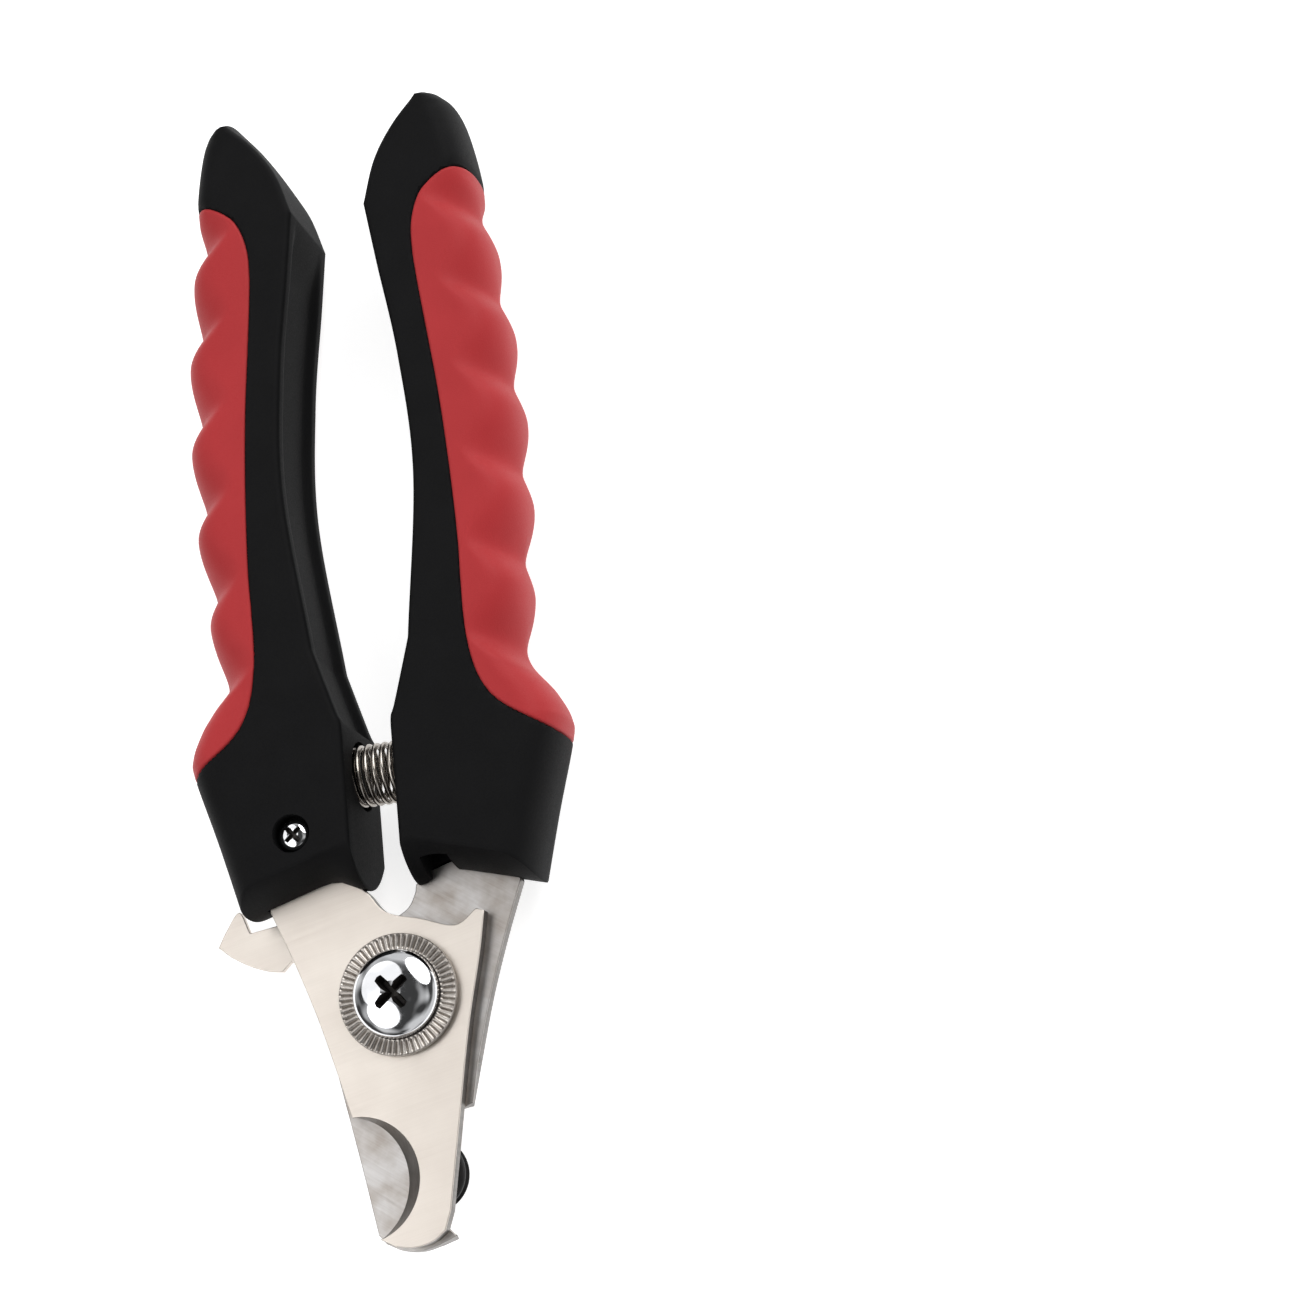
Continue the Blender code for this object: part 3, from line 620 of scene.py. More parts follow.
# ---------------------------------------------------------------- blades
@dataclass
class Blades:
    """The two shearing blades. Each notch is an arc with a ground bevel down to its edge."""

    thick: float = 2.0
    clear: float = 0.15
    rim: float = 0.12
    tang_hole: float = 1.4
    tang_at: tuple[float, float] = (11.0, 22.1)
    outer_notch: tuple = ((7.7, -15.2), (-0.5, -25.4))
    edge_notch: tuple = ((8.1, -14.9), (1.3, -24.8))
    front_lip: tuple = ((-5.1, -31.1), (-5.6, -31.0))
    rear_lip: tuple = ((4.2, -31.9), (4.6, -31.6))

    def front_outline(self, outer: bool) -> np.ndarray:
        """The front blade's outline on its outer face or on the face with the cutting edge."""
        notch = self.outer_notch if outer else self.edge_notch
        left = spline([(-17.2, 13.5), (-14.4, 6.5), (-11.6, -1.5), (-9.2, -9.8)], 6)
        bite = arc_through(*((-x, y) for x, y in notch), self.front_lip[0 if outer else 1], 60)
        tip = spline([(-3.2, -32.2), (-0.6, -32.6), (1.9, -32.1), (3.7, -30.9)], 6)
        right = spline([(4.6, -28.5), (6.2, -20.0), (8.9, -5.8), (11.3, 4.1), (12.4, 9.7)], 6)
        saddle = spline([(11.3, 10.1), (8.3, 8.3), (3.6, 9.8), (-1.0, 11.3), (-3.3, 14.1)], 8)
        tang = [(-5.8, 16.6), (-5.8, 22.5), (-9.3, 25.0), (-9.3, 33.0), (-15.8, 33.0), (-16.6, 18.0)]
        return np.vstack([left, bite, tip, right, saddle, tang])

    def rear_outline(self, outer: bool) -> np.ndarray:
        """The rear blade's outline, the same way round."""
        notch = self.outer_notch if outer else self.edge_notch
        left = spline([(-13.2, 9.2), (-11.0, -4.2), (-7.9, -20.0), (-6.0, -30.4)], 6)
        tip = spline([(-5.0, -31.6), (-2.8, -32.7), (-0.4, -33.0), (2.2, -32.5)], 6)
        bite = arc_through(*notch, self.rear_lip[0 if outer else 1], 60)[::-1]
        right = spline([(9.2, -9.8), (11.6, -1.5), (14.4, 6.5), (17.2, 13.5)], 6)
        tang = [(16.6, 18.0), (15.8, 33.0), (9.3, 33.0), (9.3, 17.8), (4.6, 16.4)]
        seat = [(2.7, 14.9), (2.3, 13.4), (0.8, 11.5), (-3.6, 9.8), (-8.3, 8.5), (-12.2, 10.3)]
        return np.vstack([left, tip, bite, right, tang, spline(seat, 8)])

    def build(self) -> None:
        """Makes both blades, bores them and grinds their notches."""
        low, high = self.clear, self.clear + self.thick
        outer, edge = (self.front_outline(face) for face in (True, False))
        front = plate("front_blade_steel", edge, outer, low, high, self.rim)
        outer, edge = (self.rear_outline(face) for face in (True, False))
        rear = plate("rear_blade_steel", outer, edge, -high, -low, self.rim)
        for obj, side in ((front, Side.LEFT), (rear, Side.RIGHT)):
            hole = (side.value * self.tang_at[0], self.tang_at[1])
            carve(obj, bar((0, 0), PIVOT_BORE, -5, 5), bar(hole, self.tang_hole, -5, 5))
        finished(front, BLADE_STEEL, Side.LEFT.body, "front_blade")
        finished(rear, REAR_STEEL, Side.RIGHT.body, "rear_blade")
        self.grind(front, Side.LEFT)
        self.grind(rear, Side.RIGHT)

    def grind(self, obj: bpy.types.Object, side: Side) -> None:
        """Gives the notch's sloping wall and the blade's sheared edges the ground finish and its painted
        shade.

        Args:
            obj: The blade.
            side: The handle that it belongs to.
        """
        obj.data.materials.append(SHADED_GROUND_STEEL.material())
        count = len(obj.data.polygons)
        centres, normals = np.empty(count * 3), np.empty(count * 3)
        obj.data.polygons.foreach_get("center", centres)
        obj.data.polygons.foreach_get("normal", normals)
        x, y, _ = centres.reshape(-1, 3).T / MM
        x *= side.value
        lean = np.abs(normals.reshape(-1, 3)[:, 2])
        notch = (x > -1.5) & (x < 9.0) & (y < -14.6) & (y > -31.9) & (lean < 0.9)
        sheared = lean < 0.25
        # The notch wall and the sheared edges take the darker ground finish: painted shade.
        obj.data.polygons.foreach_set("material_index", (notch | sheared).astype(np.int32))


# ---------------------------------------------------------------- pivot
@dataclass
class Pivot:
    """The screw, washers and nut on the pivot axis, from the front to the back."""

    screw_r: float = 2.5
    head_r: float = 5.9
    head_high: float = 2.7
    washer_r: float = 8.1
    washer_thick: float = 0.9
    teeth: int = 60
    tooth_deep: float = 0.32
    face: float = 2.15
    drop: float = 8.0
    nylon: tuple[float, float] = (6.0, 0.5)
    guard_thick: float = 1.0
    wave: tuple[float, float, float] = (5.5, 0.4, 0.1)
    flat: tuple[float, float] = (5.0, 0.4)
    nut_flats: float = 8.0
    nut_thick: float = 2.0

    def ring_profile(self, outer: float, low: float, high: float, edge: float = 0.12) -> np.ndarray:
        """The section of a plain washer with softened corners.

        Args:
            outer: Its outer radius.
            low: Height of its lower face.
            high: Height of its upper face.
            edge: How far from a corner the rounding starts.

        Returns:
            The closed section, as radii and heights.
        """
        bore = self.screw_r + GAP
        return softened([(bore, low), (outer, low), (outer, high), (bore, high)], edge)

    def build(self) -> None:
        """Makes the whole stack."""
        washer_low = self.face + GAP
        washer_top = washer_low + self.washer_thick
        head_low = washer_top + GAP
        self.serrated(washer_low, washer_top)
        self.screw(head_low)
        nylon_top = -self.face - GAP
        guard_top = nylon_top - self.nylon[1] - GAP
        wave_top = guard_top - self.guard_thick - GAP
        flat_top = wave_top - self.wave[1] - GAP
        nut_top = flat_top - self.flat[1] - GAP
        plain = self.ring_profile(self.nylon[0], nylon_top - self.nylon[1], nylon_top)
        finished(lathed("nylon_ring", plain, closed=True), NYLON, "left_side", "guard_washer")
        wavy = lathed(
            "wave_ring",
            self.ring_profile(self.wave[0], wave_top - self.wave[1], wave_top, 0.08),
            lift=lambda t, r: self.wave[2] * np.cos(3 * t),
            closed=True,
        )
        finished(wavy, ZINC, "left_side", "wave_washer")
        flat = self.ring_profile(self.flat[0], flat_top - self.flat[1], flat_top, 0.08)
        finished(lathed("flat_ring", flat, closed=True), ZINC, "left_side", "nut_washer")
        self.nut(nut_top)

    def serrated(self, low: float, top: float) -> None:
        """The washer with radial teeth.

        The face drops by tooth_deep * (1 - |sin(teeth * angle / 2)| ^ 0.7) between teeth, fading
        to 0 at both rims, and a slow wave round the washer wears some teeth more than others.

        Args:
            low: Height of its lower face.
            top: Height of its upper face.
        """

        def teeth(t: np.ndarray, r: np.ndarray) -> np.ndarray:
            """What the teeth take off the face at angle t and radius r."""
            across = smooth((r - self.head_r - 0.1) / 0.35) * smooth((self.washer_r - 0.12 - r) / 0.2)
            valley = 1 - np.abs(np.sin(self.teeth * t / 2)) ** 0.7
            wear = 0.85 + 0.15 * np.sin(5 * t + 1) * np.sin(17 * t)
            raised = (profile[None, :, 1] > low + 0.6).astype(float)
            return -self.tooth_deep * valley * across * raised * wear

        bore = self.screw_r + GAP
        radii = np.concatenate([np.linspace(8.0, 6.0, 16), [5.7, 4.5]])
        face = np.where(radii < self.head_r - 0.1, top - 0.25, top)
        outer = self.washer_r
        rim = [(bore, low), (outer - 0.1, low), (outer, low + 0.1), (outer, top - 0.12)]
        profile = np.vstack([rim, np.c_[radii, face], [(bore, top - 0.25)]])
        made = lathed("serrated_ring", profile, segments=self.teeth * 12, lift=teeth, closed=True)
        finished(made, WASHER_STEEL, "left_side", "serrated_washer")

    def screw(self, head_low: float) -> None:
        """The truss-head screw: a dome r = R sin a, z = h cos a over a short rim, with a cross drive.

        Args:
            head_low: Height of the head's lower face.
        """
        a = np.radians(np.linspace(84, 0, 22))
        rim = 0.45
        dome = np.c_[self.head_r * np.sin(a), head_low + rim + (self.head_high - rim) * np.cos(a)]
        corners = [
            (0, -self.drop),
            (self.screw_r, -self.drop),
            (self.screw_r, head_low),
            (self.head_r - 0.1, head_low),
            (self.head_r, head_low + rim),
        ]
        shank = softened(corners, 0.2, closed=False)
        made = lathed("pivot_screw_chrome", np.vstack([shank, dome]), segments=128)
        made.data.materials.append(CHROME.material())
        carve(made, *drive_cutters((0, 0), head_low + self.head_high, 1, 2.7, 1.1, 2.1))
        finished(made, CHROME, "left_side", "pivot_screw")

    def nut(self, top: float) -> None:
        """The hexagon nut: its radius is the smaller of the hexagon's and of a cone at each end.

        Args:
            top: Height of its upper face.
        """
        t = np.linspace(0, 2 * np.pi, 144, endpoint=False)
        circle = np.stack([np.cos(t), np.sin(t)], -1)
        inner, high = self.nut_flats / 2, self.nut_thick
        hexagon = inner / np.cos((t + np.pi / 6) % (np.pi / 3) - np.pi / 6)
        bore = self.screw_r + GAP
        levels = np.array([0.0, 0.12, 0.3, 0.6, high - 0.6, high - 0.3, high - 0.12, high])
        cone = inner + 0.1 + np.minimum(levels, high - levels) * 1.6
        rows = [
            at_height(circle * np.minimum(hexagon, c)[:, None], top - high + z)
            for c, z in zip(cone, levels)
        ]
        rows += [at_height(circle * bore, z) for z in (top, top - high)]
        faces = quads(len(rows), len(t), close_rows=True, close_cols=True)
        made = put_mesh("hex_nut", np.vstack(rows), faces)
        finished(made, ZINC, "left_side", "pivot_nut")


# ---------------------------------------------------------------- stop plate
@dataclass
class StopPlate:
    """The plate that swings behind the blades, with its thumb tail and its rubber pad."""

    top: float = -3.25
    thick: float = 1.0
    rim: float = 0.12
    pad_at: tuple[float, float] = (0.8, -23.2)
    pad_r: float = 4.8
    pad_neck: float = 1.8
    pad_dome: float = 1.5
    pad_top: float = -2.45

    def outline(self) -> np.ndarray:
        """The plate's outline, anticlockwise from the tail's end."""
        tail_end = spline([(-22.2, 12.2), (-23.6, 15.3), (-25.6, 13.0), (-26.9, 10.8)], 6)
        tail_edge = spline([(-25.1, 9.2), (-22.6, 7.7), (-20.1, 6.7), (-17.9, 6.3)], 6)
        elbow = spline([(-16.6, 7.5), (-12.5, 5.0), (-7.6, -0.5), (-3.6, -8.0)], 8)
        end = arc(self.pad_at, 3.9, 185, 355, 32)
        hub = spline([(4.4, -8.0), (7.2, 0.0), (4.5, 6.0), (-3.0, 8.2)], 8)
        return np.vstack([tail_end, tail_edge, elbow, end, hub, [(-11.0, 13.4), (-18.3, 12.7)]])

    def build(self) -> None:
        """Makes the plate and its pad."""
        outline = self.outline()
        low = self.top - self.thick
        made = plate("stop_plate", outline, outline, low, self.top, self.rim)
        carve(made, bar((0, 0), PIVOT_BORE, -9, 0), bar(self.pad_at, self.pad_neck + GAP, -9, 0))
        finished(made, BLADE_STEEL, "guard", "guard_plate")
        a = np.radians(np.linspace(0, 90, 12))
        above, below, wide = self.top + GAP, low - GAP, self.pad_r
        dome = np.c_[wide * np.cos(a), below - self.pad_dome * np.sin(a)]
        corners = [
            (0, self.pad_top),
            (wide - 0.2, self.pad_top),
            (wide, self.pad_top - 0.15),
            (wide, above),
            (self.pad_neck, above),
            (self.pad_neck, below),
            (wide, below),
        ]
        stem = softened(corners, 0.15, closed=False)
        pad = lathed("rubber_pad", np.vstack([stem, dome[1:]]), self.pad_at)
        finished(pad, NITRILE, "guard", "stop_pad")


# ---------------------------------------------------------------- handles
@dataclass
class Handle:
    """One handle: the hard moulding, the soft grip let into it and the screw that holds the tang.

    A point of the skin is given by its height y and by u, which runs round the section: 0 to 1
    the front inner bevel, 1 to 2 the flat front, 2 to 3 and 3 to 4 the two quarters of the round
    outer side, 4 to 5 the flat back, 5 to 6 the back bevel and 6 to 7 the grooved inner face.
    """

    side: Side
    mid: float
    half: float = 8.0
    bevel: float = 0.8
    channel: tuple[float, float, float] = (1.0, 4.6, 6.0)
    step_y: float = 36.6
    heel_y: float = 111.5
    tip_y: float = 129.0
    bump_first: float = 52.6
    bump_pitch: float = 12.9
    bumps: int = 5
    bump_high: float = 0.7
    bump_fade: float = 4.5
    bump_lean: float = 0.37
    bump_soft: float = 0.09
    bump_tilt: float = 0.8
    well_wide: float = 2.7
    cap_y: float = 116.0
    turns: tuple[float, float] = (5.4, 3.9)
    tip_crown: float = 2.3
    grip_thick: float = 1.0
    grip_edge: float = 0.45
    face_x: float = 3.15
    lip: tuple[float, float] = (20.0, 0.29)
    nose: tuple[float, float, float] = (2.2, 3.1, 3.0)
    lip_bevel: float = 0.25
    screw_at: tuple[float, float] = (11.0, 22.1)
    spring_at: tuple[float, float] = (30.5, 0.85)

    def __post_init__(self) -> None:
        """Works out the three curves that shape the handle."""
        self.inner = np.vstack(
            [
                [(self.face_x, 2.0), (self.face_x, 34.6)],
                spline([(self.face_x, 35.4), (3.3, 36.7), (3.95, 38.4), (6.5, 47.0)], 12)[:-1],
                spline([(6.5, 47.0), (9.1, 70.0), (8.3, 87.5), (6.3, 102.3), (5.1, self.heel_y)], 16)[:-1],
                spline([(5.1, self.heel_y), (7.1, 118.2), (10.1, 123.8), (14.0, self.tip_y)], 16),
            ]
        )
        self.outer = spline(
            [(18.2, 5.0), (22.6, 21.5), (25.7, 32.0), (25.9, 35.0), (24.4, 38.4), (21.6, 43.0),
             (21.6, 50.0), (22.5, 60.0), (23.1, 72.0), (22.9, 86.0), (22.0, 98.0), (20.6, 110.0),
             (20.2, 117.5), (18.7, 125.5), (16.8, 128.2), (15.2, self.tip_y)],
            16,
        )
        self.border = spline(
            [(29.0, 31.0), (25.2, 31.8), (19.5, 35.2), (16.6, 38.4), (15.1, 42.6), (14.5, 48.0), (14.5, 54.0),
             (14.6, 60.0), (14.3, 70.0), (13.7, 80.5), (12.8, 90.0), (11.95, 98.5), (11.65, 103.5),
             (11.9, 107.5), (13.2, 111.2), (15.2, 113.3), (18.0, 114.8), (22.5, 115.9), (27.0, 116.5)],
            12,
        )

    def lobes(self, y: np.ndarray, u: np.ndarray) -> tuple[np.ndarray, np.ndarray]:
        """(height, well) of the finger bumps.

        The height follows |cos| of the phase, softened, which gives broad crests and narrow
        wells. The well runs from 0 on a crest to 1 between two of them. On the round side the
        phase runs faster above a crest than below it, so that a bump leans towards the tip; on
        the flat faces the bumps are even, softer and a little higher up. All fade out past the
        end bumps.

        Args:
            y: Heights along the handle.
            u: Places round the section, as skin has them.

        Returns:
            The height in millimetres, and the well.
        """
        flat = np.clip(np.abs(u - 3), 0, 1) ** 2
        lean = self.bump_lean + (0.5 - self.bump_lean) * flat
        soft = self.bump_soft + 0.14 * flat
        y = y - self.bump_tilt * flat
        low = self.bump_first - (1 - lean) * self.bump_pitch
        high = low + self.bump_pitch * self.bumps
        share = (y - self.bump_first) / self.bump_pitch % 1
        phase = np.where(share < lean, share / lean, 1 + (share - lean) / (1 - lean)) / 2
        crest = np.sqrt(np.cos(np.pi * phase) ** 2 + soft) / np.sqrt(1 + soft)
        beyond = np.maximum(np.maximum(low - y, y - high), 0)
        fade = 1 - smooth(beyond / self.bump_fade)
        least = np.sqrt(soft / (1 + soft))
        inside = beyond == 0
        height = np.where(inside, 2 * crest - 1.25, (2 * least - 1.25) * fade)
        return self.bump_high * height, np.where(inside, 1 - crest, (1 - least) * fade)

    def turn_at(self, y: np.ndarray) -> np.ndarray:
        """How far in from the outer side the flat faces start to turn: less on the cap."""
        wide, narrow = self.turns
        return wide + (narrow - wide) * smooth((y - self.cap_y + 3) / 4)

    def skin(self, y: np.ndarray, u: np.ndarray) -> np.ndarray:
        """Points of the skin before it is mirrored and placed.

        The outer side is a superellipse, x = turn * cos^p and z = half * sin^p, whose width and
        power grow in the wells between fingers, so that each well scoops into the flat face.

        Towards the tip the sections bow down by the square of z, which rounds the end.

        Args:
            y: Heights.
            u: Places round the section, 0 to 7, of the same shape as y.

        Returns:
            Three numbers for each place.
        """
        y, u = np.broadcast_arrays(np.asarray(y, float), np.asarray(u, float))
        bump, well = self.lobes(y, u)
        inner, outer, bevel, turn, power = self.widths(y, bump, well)
        wide = outer - inner
        k, f = np.floor(np.clip(u, 0, 6.999999)).astype(int), u - np.floor(np.clip(u, 0, 6.999999))
        front = np.where(k < 3, 1, -1)
        corner = np.radians(180 - 90 * np.where(k == 0, f, 1 - f))
        bevel_x = inner + bevel + bevel * np.cos(corner)
        bevel_z = self.half - bevel + bevel * np.sin(corner)
        flat_x = inner + bevel + (wide - turn - bevel) * np.where(k == 1, f, 1 - f)
        round_t = np.radians(90 * np.where(k == 2, 1 - f, f))
        round_x = outer - turn + turn * np.cos(round_t) ** power
        round_z = self.half * np.sin(round_t) ** power
        deep, channel, ridge = self.channel
        held = np.minimum(deep, 0.1 * wide) * (y > self.step_y) * smooth((self.heel_y - y) / 9.0) + 0.02
        face_z = (self.half - bevel) * (2 * f - 1)
        groove_x = inner + held * smooth((ridge - np.abs(face_z)) / (ridge - channel))
        x = np.choose(k, [bevel_x, flat_x, round_x, round_x, flat_x, bevel_x, groove_x])
        flat_z = np.full(y.shape, self.half)
        z = front * np.choose(k, [bevel_z, flat_z, round_z, round_z, flat_z, bevel_z, -face_z])
        share = np.clip((y - self.heel_y) / (self.tip_y - self.heel_y), 0, 1)
        return np.stack([x, y - self.tip_crown * share**2 * (z / self.half) ** 2, z], -1)

    def placed(self, points: np.ndarray) -> np.ndarray:
        """Mirrors points for the left side and lifts them to the handle's middle plane."""
        return points * [self.side.value, 1, 1] + [0, 0, self.mid]

    def end_height(self, x: np.ndarray, z: np.ndarray) -> np.ndarray:
        """Where the moulding stops: a sloping lip on both faces that drops to a nose between them."""
        top, slope = self.lip
        everywhere, inside, width = self.nose
        reach = x - self.face_x
        drop = everywhere + inside * np.exp(-((reach / width) ** 2))
        return top - slope * reach - drop * np.maximum(0.0, 1 - (z / self.half) ** 2) ** 0.8

    def sunk(self, points: np.ndarray, depth: np.ndarray) -> np.ndarray:
        """Points of a grid moved in along its normals, whose columns close on themselves."""
        along = np.gradient(points, axis=0)
        across = np.roll(points, -1, 1) - np.roll(points, 1, 1)
        normal = np.cross(across, along)
        normal /= np.maximum(np.linalg.norm(normal, axis=-1), 1e-9)[..., None]
        return points - normal * depth[..., None]

    def moulding(self) -> bpy.types.Object:
        """The hard body: rows of the skin from the sloping lower end to the tip, closed at both.

        Where the grip lies, the skin is sunk by 1.25 mm.
        """
        spans = ((0, 1, 6), (1, 2, 30), (2, 4, 44), (4, 5, 30), (5, 6, 6), (6, 7, 40))
        u = np.concatenate([np.linspace(a, b, n, endpoint=False) for a, b, n in spans])
        low = np.full(len(u), 17.0)
        for _ in range(4):
            rim = self.skin(low, u)
            low = self.end_height(rim[:, 0], rim[:, 2])
        base = 26.0
        first = np.linspace(0, 1, 24)[:, None] * (base - low) + low
        first[0] += self.lip_bevel
        middle = np.arange(base + 0.4, self.heel_y - 0.1, 0.4)
        crest = [self.heel_y - 0.05, self.heel_y + 0.05]
        top = self.heel_y + (self.tip_y - self.heel_y) * np.sin(np.linspace(0.03, 1, 44) * np.pi / 2)
        step = [self.step_y - 0.02, self.step_y + 0.02]
        rows = np.sort(np.concatenate([middle, crest, top, step]))
        y = np.vstack([first, np.broadcast_to(rows[:, None], (len(rows), len(u)))])
        grid = self.skin(y, u)
        edge = signed_distance(grid[..., :2], self.border)
        grid = self.sunk(grid, 1.25 * smooth((0.12 - edge) / 0.75))
        centre = grid[0, :, 0].mean()
        caps = []
        for scale in (0.1, 0.3, 0.5, 0.7, 0.85, 0.95, 0.985):
            x = centre + (grid[0, :, 0] - centre) * scale
            z = grid[0, :, 2] * scale
            caps.append(np.stack([x, self.end_height(x, z), z], -1))
        rings = [self.placed(ring) for ring in caps + list(grid)]
        return stacked(f"{self.side.word}_moulding", rings, crease=40)

    def carved(self, body: bpy.types.Object, slot: np.ndarray, low: float, high: float) -> None:
        """Cuts the tang slot, the drain pocket, the counterbore and the spring's seat.

        The right side also gets the bay that the lock catch turns in.

        Args:
            body: The moulding.
            slot: The tang slot's outline.
            low: Height of the blade's lower face.
            high: Height of its upper face.
        """
        flip, up = self.side.value, self.side.up
        counterbore_r, counterbore_deep, pocket_deep, bay_deep = 2.6, 2.4, 5.8, 2.0
        pocket = softened([(5.2, 8), (9.0, 8), (9.0, 24), (5.2, 24)], 0.4) * [flip, 1]
        face = self.mid + up * self.half
        hole = (flip * self.screw_at[0], self.screw_at[1])
        bottom, top = sorted((face - up * counterbore_deep, face + up))
        y, z = self.spring_at
        t = np.linspace(0, 2 * np.pi, 48, endpoint=False)[:, None]
        across, along = np.array([(2.9, 2.0), (4.8, 2.0), (4.8, 8.3), (2.9, 8.3)]).T
        seat = np.broadcast_arrays(flip * along, y + across * np.cos(t), z + across * np.sin(t))
        cutters = [
            block(slot, low - GAP, high + GAP),
            block(pocket, *sorted((self.mid, self.mid + flip * pocket_deep))),
            bar(hole, counterbore_r, bottom, top),
            put_mesh("cutter", np.stack(seat, -1).reshape(-1, 3), quads(48, 4, True, True)),
        ]
        if self.side is Side.RIGHT:
            bay = softened([(-1, 25.4), (12.2, 25.4), (12.2, 49.6), (-1, 49.6)], 0.8)
            cutters.append(block(bay, face - 1, face + bay_deep))
        carve(body, *cutters)

    def grip(self) -> bpy.types.Object:
        """The soft grip: a patch of the skin inside the border, with a rolled edge.

        The patch is a Coons blend of its four edges in (y, u): the two long edges follow the
        border on the front and back, and the short ones cross over the outer side. The surface
        drops at its rim by a quarter circle of radius grip_edge.
        """
        line = np.stack([self.border[:, 1], self.across(self.border)], -1)
        line = line[line[:, 1] < 2.995]
        for end in (0, -1):
            line[end, 1] = 3.0
        bend_low = int(np.argmin(np.abs(line[:, 0] - 37.6)))
        bend_high = int(np.argmin(np.abs(line[:, 0] - 110.9)))
        return self.patch(line, bend_low, bend_high)

    def widths(self, y: np.ndarray, bump: np.ndarray, well: np.ndarray) -> tuple[np.ndarray, ...]:
        """The section's measures at a height.

        Args:
            y: Heights along the handle.
            bump: What the bumps add to the outer side.
            well: How far each place is into a well, 0 to 1.

        Returns:
            X of the inner and the outer side, the inner bevel, how far in the outer side starts
            to turn, and the power of its superellipse.
        """
        inner = np.interp(y, self.inner[:, 1], self.inner[:, 0])
        outer = np.interp(y, self.outer[:, 1], self.outer[:, 0]) + bump
        wide = outer - inner
        bevel = np.minimum(self.bevel, 0.2 * wide)
        turn = np.minimum(self.turn_at(y) + self.well_wide * well, 0.62 * wide)
        return inner, outer, bevel, turn, 0.82 + 0.5 * well

    def across(self, points: np.ndarray) -> np.ndarray:
        """u on the front of the skin for points (x, y): the flat's share, or the round side's angle.

        The bumps shift with u, so the answer is put back in a few times.
        """
        x, y = points.T
        u = np.full(len(x), 2.0)
        for _ in range(6):
            inner, outer, bevel, turn, power = self.widths(y, *self.lobes(y, u))
            flat = (x - inner - bevel) / (outer - inner - turn - bevel)
            share = np.clip((x - outer + turn) / turn, 0, 1) ** (1 / power)
            u = np.where(flat < 1, 1 + flat, 2 + (90 - np.degrees(np.arccos(share))) / 90)
        return u

    def patch(self, line: np.ndarray, bend_low: int, bend_high: int) -> bpy.types.Object:
        """Builds the grip's closed shell.

        Args:
            line: Its border on the front, as (y, u) from one end to the other.
            bend_low: The point of the line where the lower short edge ends.
            bend_high: The point where the upper short edge starts.

        Returns:
            The grip.
        """
        rows, half = 230, 60

        def spaced(edge: np.ndarray, count: int) -> np.ndarray:
            """Points along an edge, closer together towards its ends."""
            step = np.diff(edge, axis=0) * [1, 8]
            far = np.concatenate([[0], np.cumsum(np.linalg.norm(step, axis=1))])
            share = np.linspace(0, 1, count)
            share = share - 0.8 * np.sin(2 * np.pi * share) / (2 * np.pi)
            return np.stack([np.interp(share * far[-1], far, edge[:, i]) for i in range(2)], -1)

        long_edge = spaced(line[bend_low : bend_high + 1], rows)
        bottom = spaced(line[: bend_low + 1][::-1], half)
        top = spaced(line[bend_high:], half)

        def mirrored(edge: np.ndarray) -> np.ndarray:
            """A short edge carried on over the outer side to the back."""
            back = edge[::-1].copy()
            back[:, 1] = 6 - back[:, 1]
            return np.vstack([edge, back[1:]])

        bottom, top = mirrored(bottom), mirrored(top)
        right = long_edge.copy()
        right[:, 1] = 6 - right[:, 1]
        a = np.linspace(0, 1, rows)[:, None, None]
        b = np.linspace(0, 1, len(bottom))[None, :, None]
        mix = (1 - a) * bottom[None] + a * top[None] + (1 - b) * long_edge[:, None] + b * right[:, None]
        mix -= (1 - a) * ((1 - b) * bottom[0] + b * bottom[-1])
        mix -= a * ((1 - b) * top[0] + b * top[-1])
        y, u = mix[..., 0], mix[..., 1]
        outside = self.skin(y, u)
        nudge = 0.01
        by_y = self.skin(y + nudge, u) - self.skin(y - nudge, u)
        by_u = self.skin(y, u + nudge) - self.skin(y, u - nudge)
        normal = np.cross(by_u, by_y)
        normal /= np.maximum(np.linalg.norm(normal, axis=-1), 1e-9)[..., None]
        edge = -signed_distance(outside[..., :2], self.border)
        near = np.clip(1 - (edge - 0.05) / self.grip_edge, 0, 1)
        drop = self.grip_edge * (1 - np.sqrt(np.maximum(0, 1 - near**2)))
        upper = outside - normal * drop[..., None]
        lower = outside - normal * self.grip_thick
        m, n = upper.shape[:2]
        count = m * n
        index = np.arange(count).reshape(m, n)
        ring = np.concatenate([index[0], index[1:, -1], index[-1, -2::-1], index[-2:0:-1, 0]])
        faces = quads(m, n) + quads(m, n, first=count)
        after = np.roll(ring, -1)
        faces += np.stack([ring, after, after + count, ring + count], -1).tolist()
        points = self.placed(np.vstack([upper.reshape(-1, 3), lower.reshape(-1, 3)]))
        return put_mesh(f"{self.side.word}_soft_grip", points, faces, crease=50)

    def screw(self) -> bpy.types.Object:
        """The pan-head screw that holds the tang, driven from the front on the left, else the back."""
        up = self.side.up
        head_r, head_high, shank_r, rim, below = 2.1, 1.4, 1.1, 0.6, 0.7
        centre = (self.side.value * self.screw_at[0], self.screw_at[1])
        top = self.mid + up * (self.half - below)
        under = top - up * head_high
        a = np.radians(np.linspace(80, 0, 12))
        dome = np.c_[head_r * np.sin(a), under + up * (rim + (head_high - rim) * np.cos(a))]
        end = self.mid - up * 5.0
        corners = [(0, end), (shank_r, end), (shank_r, under), (head_r, under), (head_r, under + up * rim)]
        shank = softened(corners, 0.1, closed=False)
        made = lathed(f"{self.side.word}_tang_screw", np.vstack([shank, dome]), centre, 64)
        made.data.materials.append(CHROME.material())
        carve(made, *drive_cutters(centre, top, up, 1.35, 0.65, 0.9))
        return made

